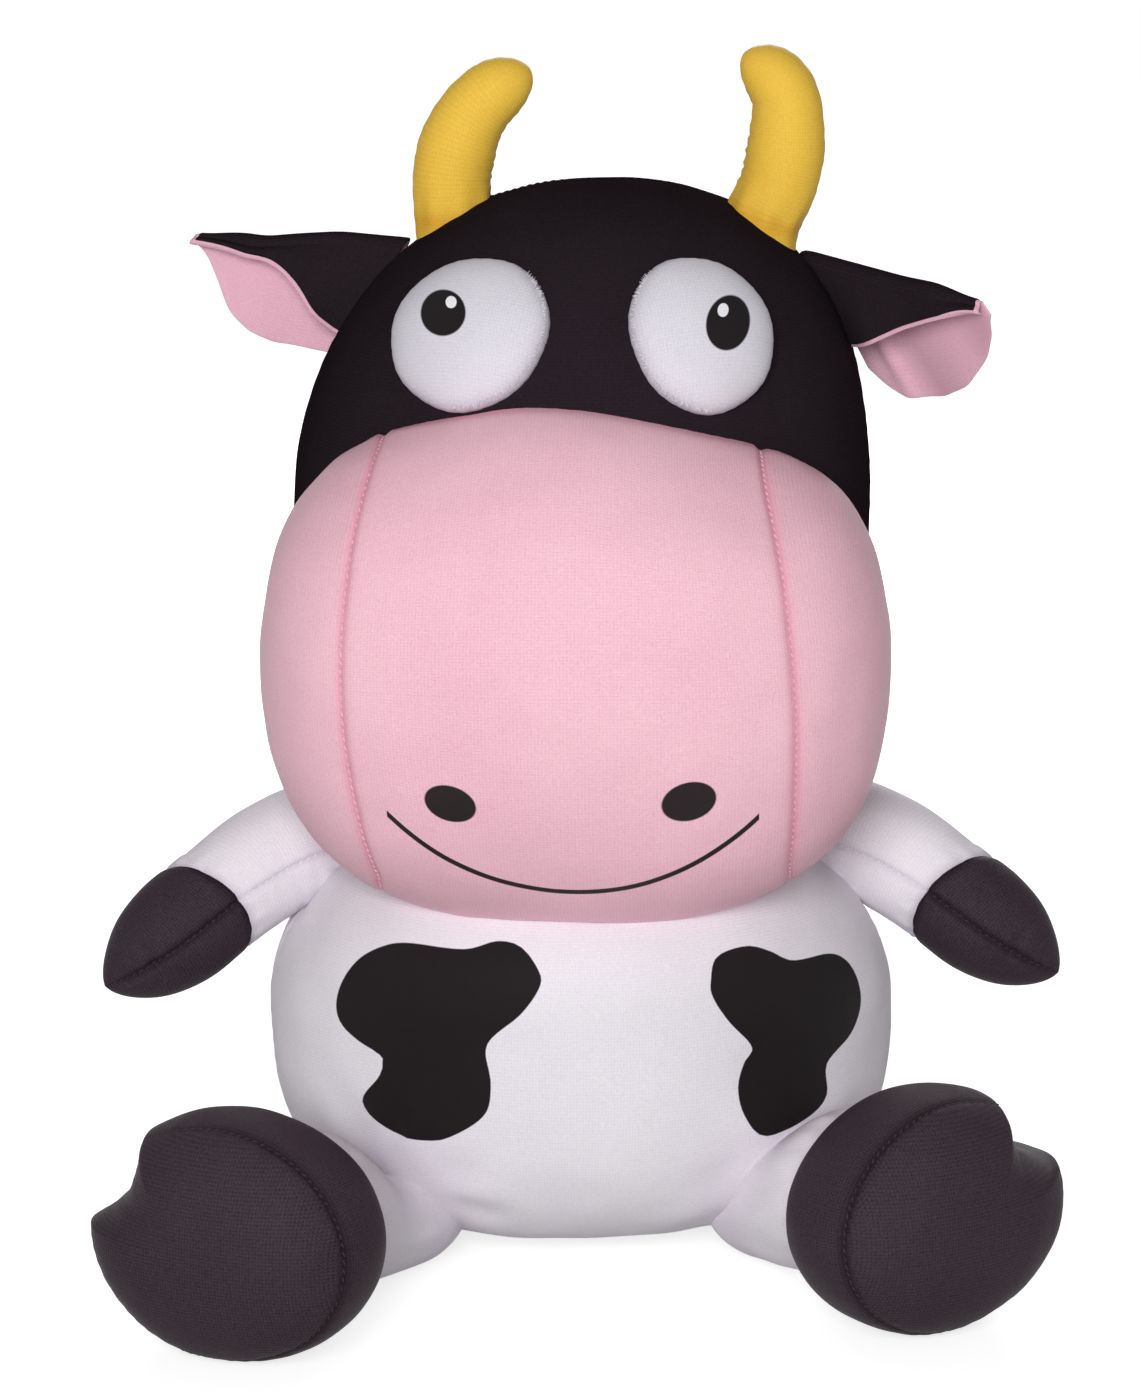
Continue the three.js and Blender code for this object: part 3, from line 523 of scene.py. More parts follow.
# short loose fibres along a cut edge
def frayed(name, spots, kind, where, cloth, slot, body, long=0.0016, thick=0.00016):
    surface = surfaceOf(cloth)
    bm = bmesh.new()
    for made, (point, away) in enumerate(spots):
        spot, out = surface.find_nearest(where @ point)[:2]
        away = (where.to_3x3() @ away).normalized()
        lean = Vector((sin(made * 5.1), sin(made * 3.7), sin(made * 2.3))) * 0.7
        run = (away + out * 0.35 + lean).normalized()
        size = long * (0.7 + 0.5 * abs(sin(made * 1.9)))
        seat = Matrix.Translation(spot + run * (size * 0.35)) @ run.to_track_quat("Z", "Y").to_matrix().to_4x4()
        bmesh.ops.create_cone(
            bm, cap_ends=True, segments=4, radius1=thick, radius2=thick * 0.4, depth=size, matrix=seat,
        )
    worn(finished(bm, name), threads[kind], slot, body)


# body
torsoLook = {
    "width": 0.208, "depth": 0.188, "widestHeight": 0.078, "topHeight": 0.153,
    "baseBulge": 2.8, "topBulge": 1.9, "roundHeight": 0.118, "seamForward": 0.012,
    "limbRoots": [(97, 0.127), (45, 0.028)],  # degrees from the front, and height
    "sewnTilts": (0.25, 2.6), "rows": 170, "columns": 210,
}


# at a height on the body: its bulge, how far that half reaches, and its depth for its width
def torsoBand(height):
    look, widest = torsoLook, torsoLook["widestHeight"]
    toRound = smooth((height - widest) / (look["roundHeight"] - widest))
    depthShare = mix(look["depth"] / look["width"], 1, toRound)
    if height < widest:
        return look["baseBulge"], widest, depthShare
    return look["topBulge"], look["topHeight"] - widest, depthShare


def torsoPlace(tilt, turn):
    look = torsoLook
    cosine, sine = cos(tilt), max(0, sin(tilt))
    bulge, reach = torsoBand(look["widestHeight"] - cosine)[:2]
    height = look["widestHeight"] - reach * bent(cosine, 2 / bulge)
    if turn is None:
        return Vector((0, 0, height))
    share, radius = sine ** (2 / bulge), look["width"] / 2
    forward = look["seamForward"] * (1 - abs(sin(turn))) * smooth(share / 0.5)
    radius -= groove(sideSeam(turn, radius))
    deep = radius * torsoBand(height)[2] * share * sin(turn)
    return Vector((radius * share * cos(turn), deep - forward, height))


# the head settles on the body: what would lie inside it is pressed up to its surface
def pressedOnBody(point, gap=0.0006):
    widest = torsoLook["widestHeight"]
    if point.z < widest:
        return point
    bulge, reach, depthShare = torsoBand(point.z)
    radius = torsoLook["width"] / 2 + gap
    flat = hypot(point.x / radius, point.y / (radius * depthShare))
    outside = (abs((point.z - widest) / (reach + gap)) ** bulge + flat ** bulge) ** (1 / bulge)
    if outside >= 1 or outside < 1e-6:
        return point
    middle = Vector((0, 0, widest))
    return middle + (point - middle) / outside


# outlines of the two dark prints on the front, in millimetres across and up
spotOutlines = {
    "left": [(-58.9, 112.7), (-67.4, 110.2), (-74.8, 105.1), (-80.0, 97.6), (-82.0, 90.0),
             (-80.5, 84.1), (-75.1, 79.7), (-68.4, 76.6), (-67.2, 74.0), (-68.5, 69.0), (-73.0, 62.4),
             (-73.7, 58.3), (-70.2, 53.7), (-62.3, 49.8), (-53.8, 49.4), (-46.5, 51.3), (-35.3, 59.9),
             (-33.1, 70.8), (-34.3, 83.7), (-23.6, 94.6), (-17.6, 103.7), (-18.2, 108.7),
             (-23.3, 114.7), (-30.8, 115.9), (-41.2, 113.0)],
    "right": [(36.8, 102.9), (39.0, 110.0), (48.8, 111.9), (56.8, 109.3), (64.6, 105.0), (78.2, 103.8),
              (85.8, 97.6), (89.0, 86.9), (85.6, 77.3), (76.5, 69.3), (76.5, 58.4), (69.5, 52.1),
              (55.4, 48.8), (48.3, 57.1), (46.0, 66.9), (47.9, 75.0), (50.5, 80.0), (42.8, 89.3), (37.5, 97.8)],
}


def smoothClosed(points, steps=6):
    count, result = len(points), []
    for index in range(count):
        a, b, c, d = (Vector(points[(index + offset) % count]) for offset in (-1, 0, 1, 2))
        for step in range(steps):
            t = step / steps
            spot = 2 * b + (c - a) * t + (2 * a - 5 * b + 4 * c - d) * t * t + (3 * b - a - 3 * c + d) * t ** 3
            result.append(tuple(spot / 2000))
    return result


# signed distance to an outline, positive inside
def insideBy(x, z, outline):
    nearest, inside = 1e9, False
    for (ax, az), (bx, bz) in zip(outline, outline[1:] + outline[:1]):
        wide, tall = bx - ax, bz - az
        if (az > z) != (bz > z) and x < wide * (z - az) / tall + ax:
            inside = not inside
        along = max(0, min(1, ((x - ax) * wide + (z - az) * tall) / (wide ** 2 + tall ** 2 + 1e-12)))
        nearest = min(nearest, hypot(x - ax - along * wide, z - az - along * tall))
    return nearest if inside else -nearest


def onTorso(angleFromFront, height):
    angle = radians(angleFromFront)
    bulge, reach, depthShare = torsoBand(height)
    radius = torsoLook["width"] / 2 * swell((height - torsoLook["widestHeight"]) / reach, bulge)
    far = 1 / hypot(sin(angle) / radius, cos(angle) / (radius * depthShare))
    return Vector((far * sin(angle), -far * cos(angle), height))


def makeTorso():
    look = torsoLook
    tilts, turns = tiltsOf(look), seamedTurns(look["columns"], look["width"] / 2)
    roots = [onTorso(*root) for root in look["limbRoots"]]
    roots += [Vector((-root.x, root.y, root.z)) for root in roots]

    def sculpt(point, tilt, turn):
        away = sideSeam(turn, look["width"] / 2 * sin(tilt))
        offset = lumpy(point, 0.0008) + gathers(away, point.z)
        for index, root in enumerate(roots):
            offset += fannedFolds(point, root, index)
        # the second value is painted shade along the side seams and around the limb roots
        return offset, max(near(away, 0.0016), *(0.7 * near((point - root).length, 0.030, 4) for root in roots))

    piece = roundForm("torso_cover", tilts, turns, torsoPlace, onBody, sculpt)
    outlines = [smoothClosed(points) for points in spotOutlines.values()]
    spot = piece.data.attributes.new("spot", "FLOAT", "POINT")
    back = onBody.inverted()
    for vert, value in zip(piece.data.vertices, spot.data):
        place = back @ vert.co
        value.value = -0.05
        if place.y < 0 and 0.04 < place.z < 0.125:
            value.value = max(insideBy(place.x, place.z, outline) for outline in outlines)
    nodes = ("torso_front_panel", "torso_back_panel", "torso_fill")
    cloth = dressed(piece, spottedKnit, "white_knit", "torso", nodes)
    low, high = look["sewnTilts"]
    paths = [[torsoPlace(tilt, turn) for tilt in tilts if low < tilt < high] for turn in (0, pi)]
    sewn("torso_seam_thread", paths, "white", onBody, *cloth)


makeTorso()
print("body made")

# head
headLook = {
    "width": 0.192, "depth": 0.162, "topReach": 0.114, "baseReach": 0.105, "bulge": 2.25,
    "sink": 0.023, "back": 0.002, "lean": 0.009, "seamBack": 0.006, "sewnFrom": 0.8,
    "rows": 170, "columns": 170,
}
headCentreHeight = torsoLook["topHeight"] + headLook["baseReach"] - headLook["sink"]


def headShare(height):
    look = headLook
    rise = height - headCentreHeight
    share = rise / (look["topReach"] if rise > 0 else look["baseReach"])
    lean = look["lean"] * min(1, share) ** 1.5 if rise > 0 else 0
    return swell(share, look["bulge"]), lean


def headPlacePoint(tilt, turn):
    look = headLook
    cosine, sine = cos(tilt), max(0, sin(tilt))
    reach = look["topReach"] if cosine < 0 else look["baseReach"]
    height = headCentreHeight - reach * bent(cosine, 2 / look["bulge"])
    lean = headShare(height)[1]
    if turn is None:
        return pressedOnBody(Vector((lean, look["back"], height)))
    share, radius = sine ** (2 / look["bulge"]), look["width"] / 2
    radius -= groove(sideSeam(turn, radius))
    backward = look["seamBack"] * (1 - abs(sin(turn))) * smooth(share / 0.5)
    deep = look["back"] + look["depth"] / 2 * share * sin(turn) + backward
    return pressedOnBody(Vector((lean + radius * share * cos(turn), deep, height)))


def headFront(across, height):
    look = headLook
    share, lean = headShare(height)
    depth = sqrt(max(0, share ** 2 - (across / (look["width"] / 2)) ** 2))
    return Vector((lean + across, look["back"] - look["depth"] / 2 * depth, height))


# how far outside the head a point is: 1 lies on its surface
def headReach(point):
    look, lean = headLook, headShare(point.z)[1]
    rise = point.z - headCentreHeight
    tall = abs(rise / (look["topReach"] if rise > 0 else look["baseReach"]))
    flat = hypot((point.x - lean) / (look["width"] / 2), (point.y - look["back"]) / (look["depth"] / 2))
    return (tall ** look["bulge"] + flat ** look["bulge"]) ** (1 / look["bulge"])


def makeHead():
    look = headLook
    tilts, turns = tiltsOf(look), seamedTurns(look["columns"], look["width"] / 2)

    def sculpt(point, tilt, turn):
        away = sideSeam(turn, look["width"] / 2 * sin(tilt))
        # the second value is painted shade along the side seams
        return lumpy(point, 0.0008, 2) + gathers(away, point.z), near(away, 0.0016)

    piece = roundForm("head_cover", tilts, turns, headPlacePoint, onHead, sculpt)
    nodes = ("head_front_panel", "head_back_panel", "head_fill")
    cloth = dressed(piece, blackKnit, "black_knit", "head", nodes)
    paths = [[headPlacePoint(tilt, turn) for tilt in tilts if tilt > look["sewnFrom"]] for turn in (0, pi)]
    sewn("head_seam_thread", paths, "black", onHead, *cloth)


makeHead()

# muzzle
muzzleLook = {
    "width": 0.203, "depth": 0.124, "height": 0.172, "drop": 0.034, "forward": 0.055,
    "endBulge": 2.5, "bulge": 2.2, "seamOffset": 0.069, "leftIn": 0.0026, "rows": 96, "columns": 200,
    # how far out each seam lies at three heights, and how far the top edge dips, from left to right
    "seamLine": {
        -1: [(0.148, 0.0616), (0.205, 0.0685), (0.275, 0.0583)],
        1: [(0.140, 0.0701), (0.190, 0.0720), (0.273, 0.0594)],
    },
    "seamSpan": (0.140, 0.275), "sewnTurns": (-2.4, 2.6, 160),
    "topDip": [
        (-0.090, 0.0030), (-0.070, 0.0025), (-0.041, 0.0035), (-0.020, 0.0), (-0.005, -0.0010), (0.012, 0.0005),
        (0.030, 0.0040), (0.049, 0.0075), (0.068, 0.0050), (0.082, 0.0030), (0.092, 0.0),
    ],
}
muzzleCentre = Vector((0, -muzzleLook["forward"], headCentreHeight - muzzleLook["drop"]))


def muzzlePlace(tilt, turn):
    look = muzzleLook
    half, inner, endBulge = look["width"] / 2, look["seamOffset"], look["endBulge"]
    across = -bent(cos(tilt), 2 / endBulge) * half
    if turn is None:
        return muzzleCentre + Vector((across + (look["leftIn"] if across < 0 else 0), 0, 0))
    side, outwards = (-1 if across < 0 else 1), abs(across)
    forward = bent(cos(turn), 2 / look["bulge"]) * look["depth"] / 2
    rise = bent(sin(turn), 2 / look["bulge"]) * look["height"] / 2
    low, high = look["seamSpan"]
    height = min(high, max(low, muzzleCentre.z + rise * swell(across / half, endBulge)))
    toEnd = smooth((outwards - inner) / (half - inner))
    pull = (outwards / inner) ** 2 if outwards < inner else 1 - toEnd
    across += side * (arched(look["seamLine"][side], height) - inner) * pull
    share = swell(across / half, endBulge) * (1 - groove(abs(outwards - inner)) / 0.07)
    if side < 0:
        across += look["leftIn"] * toEnd
    point = muzzleCentre + Vector((across, -forward * share, rise * share))
    point.z -= averaged(look["topDip"], across, 0.014) * smooth((point.z - muzzleCentre.z - 0.035) / 0.030)
    return pressedOnBody(point)


def makeMuzzle():
    look = muzzleLook
    half = look["width"] / 2
    seamCosine = (look["seamOffset"] / half) ** (look["endBulge"] / 2)
    seams = [acos(seamCosine), acos(-seamCosine)]

    def sculpt(point, tilt, turn):
        away = abs(abs(bent(cos(tilt), 2 / look["endBulge"]) * half) - look["seamOffset"])
        joined = near(headReach(point) - 1, 0.030)  # the cloth turns in where it is sewn to the head
        offset = lumpy(point, 0.0009, 4) + gathers(away, turn * 0.075)
        # the second value is painted shade along the side seams and where it is sewn to the head
        return offset - 0.0007 * joined, max(near(away, 0.0018), 0.9 * joined)

    tilts = gathered(tiltsOf(look), seams, half)
    piece = roundForm("muzzle_cover", tilts, turnsOf(look["columns"]), muzzlePlace, onHead, sculpt)
    panels = ("muzzle_centre_panel", "muzzle_left_panel", "muzzle_right_panel")
    cloth = dressed(piece, pinkKnit, "pink_knit", "head", panels)
    paths = [[muzzlePlace(seam, turn) for turn in evenly(*look["sewnTurns"])] for seam in seams]
    paths = [[point for point in path if headReach(point) > 1] for path in paths]
    sewn("muzzle_seam_thread", paths, "pink", onHead, *cloth)


makeMuzzle()
print("head made")

# eyes
eyeLook = {
    "width": {"left": 0.054, "right": 0.0475}, "height": 0.0515, "rise": 0.010, "sink": 0.002, "spread": 0.037,
    "aboveMuzzle": 0.019, "rows": 28, "columns": 96,
    # the inner edge is the ragged one, from the brow down to the muzzle
    "fibres": 150, "ragged": (-1.5, 0.9), "edgeTilt": 1.79,
}


def eyeFrame(side, step=0.001):
    look = eyeLook
    height, across = muzzleCentre.z + muzzleLook["height"] / 2 + look["aboveMuzzle"], side * look["spread"]
    along = headFront(across + step, height) - headFront(across - step, height)
    rise = headFront(across, height + step) - headFront(across, height - step)
    outward = along.cross(rise).normalized()
    level = Vector((0, 0, 1)).cross(outward).normalized()
    return headFront(across, height) - outward * look["sink"], outward, level, outward.cross(level)


def makeEye(word, side):
    look = eyeLook
    centre, outward, level, top = eyeFrame(side)
    deep, wide, tall = look["rise"] + look["sink"], look["width"][word] / 2, look["height"] / 2

    def place(tilt, turn):
        spot = centre - outward * deep * cos(tilt)
        if turn is None:
            return spot
        # the cut edge wavers a little
        share = sin(tilt) * (1 + 0.012 * sin(turn * 3 + side) + 0.006 * sin(turn * 7))
        return spot + level * (wide * share * cos(turn)) + top * (tall * share * sin(turn))

    def sculpt(point, tilt, turn):
        edge = smooth((sin(tilt) - 0.90) / 0.10)
        # the second value is painted shade towards the edge, where it lies on the head
        return lumpy(point, 0.0004, 6) + 0.00008 * edge * sin(turn * 34), 0.5 * edge

    def marks(tree):
        seen = headPlace(tree)
        return [(oval(tree, seen, *mark), ink) for mark, ink in zip(facePrints[word], (printInk, glintInk))]

    piece = roundForm(f"eye_{word}", tiltsOf(look), turnsOf(look["columns"]), place, onHead, sculpt)
    nodes = (f"eye_{word}_cover", f"eye_{word}_pad")
    cloth = dressed(piece, fabric("eye", marks), "white_knit", "head", nodes)
    flatWeave(piece, onHead.to_3x3() @ level, onHead.to_3x3() @ top)
    spots = []
    for index in range(look["fibres"]):
        along = mix(*look["ragged"], index / look["fibres"])
        turn = pi * (side > 0) + along * -side + 0.05 * sin(index * 2.9)
        spots.append((place(look["edgeTilt"], turn), level * cos(turn) + top * sin(turn)))
    frayed(f"eye_{word}_fray", spots, "white", onHead, *cloth)


for word, side in bothSides:
    makeEye(word, side)
print("eyes made")

# horns
hornLook = {
    "spread": 0.051, "back": 0.003, "baseRadius": 0.0122, "middleRadius": 0.0130, "tipRadius": 0.0095,
    "middleShare": 0.5, "bluntShare": 0.8, "sewnShares": (0.2, 0.985), "rows": 64, "columns": 56,
    # each line in millimetres, inwards and up from where the horn is sewn on
    "line": {
        "left": [(2.5, -14), (1.8, 0), (1.6, 15), (5, 28), (12.2, 38.5), (27, 48.5)],
        "right": [(1, -14), (-1, 0), (-6, 12), (-8.5, 27), (-7, 41.5), (5.5, 54)],
    },
}


# an even smooth line through points
def lineThrough(points, steps=60):
    points = [2 * points[0] - points[1]] + points + [2 * points[-1] - points[-2]]
    spots = []
    for a, b, c, d in zip(points, points[1:], points[2:], points[3:]):
        gaps = [max(1e-6, (end - start).length) ** 0.5 for start, end in ((a, b), (b, c), (c, d))]
        leave = (b - a) / gaps[0] - (c - a) / (gaps[0] + gaps[1]) + (c - b) / gaps[1]
        reach = (c - b) / gaps[1] - (d - b) / (gaps[1] + gaps[2]) + (d - c) / gaps[2]
        leave, reach = leave * gaps[1], reach * gaps[1]
        for step in range(steps):
            s = step / steps
            spots.append(
                b + leave * s + (3 * (c - b) - 2 * leave - reach) * s * s + (2 * (b - c) + leave + reach) * s ** 3
            )
    return spots + [points[-2]]


# a place and a direction along a row of close points, by length
def alongLine(spots, lengths, distance):
    distance = min(lengths[-1], max(0, distance))
    low = min(len(lengths) - 2, bisect.bisect_right(lengths, distance) - 1)
    share = (distance - lengths[low]) / (lengths[low + 1] - lengths[low])
    ahead = spots[min(len(spots) - 1, low + 3)] - spots[max(0, low - 2)]
    return spots[low].lerp(spots[low + 1], share), ahead.normalized()


def headTopAt(across, back):
    look = headLook
    flat = hypot(across / (look["width"] / 2), back / (look["depth"] / 2))
    height = headCentreHeight + look["topReach"] * swell(flat, look["bulge"])
    return Vector((headShare(height)[1] + across, look["back"] + back, height))


def makeHorn(word, side):
    look = hornLook
    spots = lineThrough([Vector((-side * inwards, 0, up)) / 1000 for inwards, up in look["line"][word]])
    lengths = lengthsOf(spots)
    where = onHead @ Matrix.Translation(headTopAt(side * look["spread"], look["back"]))

    def place(share, turn):
        spot, run = alongLine(spots, lengths, share * lengths[-1])
        if turn is None:
            return spot
        middle, blunt = look["middleShare"], look["bluntShare"]
        if share < middle:
            radius = mix(look["baseRadius"], look["middleRadius"], share / middle)
        else:
            radius = mix(look["middleRadius"], look["tipRadius"], (share - middle) / (1 - middle))
        radius *= swell(max(0, share - blunt) / (1 - blunt), 2)
        radius -= groove(sideSeam(turn, radius), 0.0008, 0.0011)
        outward = Vector((0, 1, 0)).cross(run).normalized()
        return spot + outward * (radius * cos(turn)) + Vector((0, radius * sin(turn), 0))

    def sculpt(point, share, turn):
        away, run, nearTip = sideSeam(turn, look["middleRadius"]), share * lengths[-1], swell(share, 8)
        offset = lumpy(point, 0.0004, 8 + side) * nearTip + gathers(away, run, 0.00010, 0.0050, 0.0030) * nearTip
        bowedIn = 0.0003 * max(0, -cos(turn) * side)  # it wrinkles there
        wrinkles = bowedIn * sin(run / 0.0046 * 2 * pi + turn) * near(run - 0.032, 0.014)
        offset += 0.0004 * near(run - 0.016, 0.007) * sin(turn * 8 + side) + wrinkles
        # the second value is painted shade along the seams and near where it is sewn to the head
        return offset, max(near(away, 0.0014), 0.8 * near(run - 0.0135, 0.0035))

    shares = [0.002 + 0.996 * sin(step / (look["rows"] - 1) * pi / 2) for step in range(look["rows"])]
    turns = seamedTurns(look["columns"], look["middleRadius"] * 1.6)
    piece = roundForm(f"horn_{word}", shares, turns, place, where, sculpt, (0, 1))
    nodes = [f"horn_{word}_{part}" for part in ("front_panel", "back_panel", "fill")]
    cloth = dressed(piece, yellowKnit, "yellow_knit", "head", nodes)
    low, high = look["sewnShares"]
    paths = [[place(share, turn) for share in shares if low < share < high] for turn in (0, pi)]
    sewn(f"horn_{word}_thread", paths, "yellow", where, *cloth)


for word, side in bothSides:
    makeHorn(word, side)
print("horns made")

# ears
earLook = {
    "length": 0.064, "foldRadius": 0.0032, "rootRise": {"left": 0.080, "right": 0.075}, "back": 0.012,
    "rootHeightShare": 0.5, "flapHeight": 0.040, "frontOpening": 24, "backOpening": 6,
    # how far each flap hangs below the fold, from the root to the tip
    "frontFlap": {
        "left": [
            (0, 0.0320), (0.18, 0.0252), (0.25, 0.0205), (0.385, 0.0126), (0.495, 0.0072), (0.604, 0.0030),
            (0.755, 0.0018), (1, 0.0008),
        ],
        "right": [
            (0, 0.0262), (0.25, 0.0196), (0.32, 0.0172), (0.54, 0.0096), (0.75, 0.0046), (0.95, 0.0010), (1, 0.0008),
        ],
    },
    "backFlap": {
        "left": [
            (0, 0.0400), (0.34, 0.0380), (0.495, 0.0330), (0.63, 0.0255), (0.766, 0.0160), (0.85, 0.0100),
            (0.92, 0.0050), (1, 0.0010),
        ],
        "right": [
            (-0.06, 0.0390), (0, 0.0450), (0.10, 0.0490), (0.31, 0.0460), (0.55, 0.0370), (0.78, 0.0240),
            (0.95, 0.0110), (1, 0.0030),
        ],
    },
    "topWave": {
        "left": [(0, 0), (0.30, 0.0013), (0.50, 0), (0.67, -0.0016), (0.84, 0.0006), (1, 0.0016)],
        "right": [(0, 0), (0.55, 0), (0.80, 0.0012), (1, 0.0022)],
    },
    "rise": {"left": 5.5, "right": -4.5}, "sweep": {"left": 6, "right": -38}, "rootDrop": 0.28, "rootPinch": 0.3,
    "thick": 0.0009, "gap": 0.0003, "rim": 0.0015, "pleat": 0.13, "rows": 60, "columns": 84,
    # the shares of the width over the fold, and of the length inside the head
    "over": 0.14, "sewnIn": 0.06,
    # how far out it bends, and what lying flat adds to the flaps and to the length
    "bend": 0.014, "flatFold": 0.02, "flatLonger": 1.15,
}


def earRoot(word, side):
    look = earLook
    rootHeight = headCentreHeight + look["rootRise"][word]
    middle = look["flapHeight"] * look["rootHeightShare"]
    share, lean = headShare(rootHeight)
    slope = (headShare(rootHeight - middle)[0] - share) * headLook["width"] / 2 / middle
    root = Vector((lean + side * headLook["width"] / 2 * share, headLook["back"] + look["back"], rootHeight))
    return root, Vector((side * slope, 0, -1)).normalized()


def makeEar(word, side):
    look, over = earLook, earLook["over"]
    root, down = earRoot(word, side)
    rise, sweep = (radians(look[key][word]) for key in ("rise", "sweep"))
    along = Vector((side * cos(sweep), sin(sweep), tan(rise))).normalized()
    behind = (along.cross(down) * side).normalized()

    def place(share, across, radius, rim):
        clamped = min(1, max(0, share))
        start = root + along * (look["length"] * share)
        start -= down * (look["flapHeight"] * look["rootDrop"] * (1 - clamped / 2))
        start -= down * averaged(look["topWave"][word], clamped)
        radius *= mix(1, 0.35, smooth((clamped - 0.70) / 0.30))  # the fold narrows towards the tip
        pinch = mix(look["rootPinch"], 1, smooth(clamped * 3))
        front = averaged(look["frontFlap"][word], clamped) + rim
        back = averaged(look["backFlap"][word], share, 0.03) + rim * 0.6
        # it runs from the front flap's edge, over the fold, to the back flap's edge
        if abs(across) <= over:
            angle = (1 - across / over) / 2 * pi
            return start + down * (-radius * sin(angle)) + behind * (radius * cos(angle))
        share = (abs(across) - over) / (1 - over)
        if across < 0:
            drop = front * share
            belly = 0.0014 * sin(share * pi) * pinch
            backward = -radius - drop * tan(radians(look["frontOpening"] * pinch)) - belly
        else:
            drop = back * share
            backward = radius + drop * tan(radians(look["backOpening"] * pinch))
            backward += 0.0008 * sin(clamped * 9) * share * pinch
            pleat = 0.0022 * near(clamped - look["pleat"], 0.045) * (side > 0)
            backward -= pleat * smooth(share * 2) * (1 - 0.6 * share)
        return start + down * drop + behind * backward

    body = ("head", f"ear_{word}", onHead @ root, onHead @ (root + along * look["bend"]))
    for layer, material, slot, radius, rim in (
        ("outer", blackKnit, "black_knit", look["foldRadius"] + look["thick"], 0),
        ("lining", liningKnit, "lining_knit", look["foldRadius"] - look["gap"], look["rim"]),
    ):
        bm = bmesh.new()
        bmesh.ops.create_grid(bm, x_segments=look["rows"], y_segments=look["columns"], size=1)
        uv = bm.loops.layers.uv.new("knit")
        for face in bm.faces:
            for loop in face.loops:
                loop[uv].uv = (loop.vert.co.x * look["length"] / 2, loop.vert.co.y * look["flapHeight"])
        for vert in bm.verts:
            longer = rim / look["length"] if vert.co.x > 0.999 else 0
            share = mix(-look["sewnIn"], 1, (vert.co.x + 1) / 2) + longer
            vert.co = onHead @ place(share, vert.co.y, radius, rim)
        bmesh.ops.recalc_face_normals(bm, faces=bm.faces)
        piece = finished(bm, f"ear_{layer}_{word}")
        wall = piece.modifiers.new("cloth", "SOLIDIFY")
        wall.thickness, wall.offset = look["thick"], 0
        smoother = piece.modifiers.new("smoother", "SUBSURF")
        smoother.levels = smoother.render_levels = 1
        worn(piece, material, slot, body)
        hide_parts(f"ear_{word}_{layer}")


for word, side in bothSides:
    makeEar(word, side)
print("ears made")

# arms
armLook = {
    "shoulderHeight": 0.127, "shoulderAngle": 97, "sink": 0.003, "ball": 0.020, "radius": 0.019, "wrist": 0.0185,
    "depthShare": 0.93, "sleeve": 0.062, "seamTurn": 0.10, "cuffLean": 0.0075, "full": 0.0012,
    "seam": (0.0008, 0.0011), "rows": 60, "columns": 72, "hoofRows": 44,
    # the curve's three bends, as offsets from the shoulder
    "curve": [(0.0314, -0.0173, 0.0087), (0.0546, -0.0274, -0.0227), (0.0855, -0.0371, -0.0396)],
    "hoof": {
        "taper": 0.036, "round": 2.2, "blunt": 0.70, "crossSeam": 0.0160, "crossReach": 0.50,
        "seam": (0.0020, 0.0015), "cross": (0.0016, 0.0015),  # how deep and how wide
    },
}


def limbFrame(run):
    across = run.cross(Vector((0, 0, 1))).normalized()
    return across, across.cross(run)


def curveSpot(points, share):
    a, b, c, d = points
    rest = 1 - share
    return a * rest ** 3 + b * (3 * rest ** 2 * share) + c * (3 * rest * share ** 2) + d * share ** 3


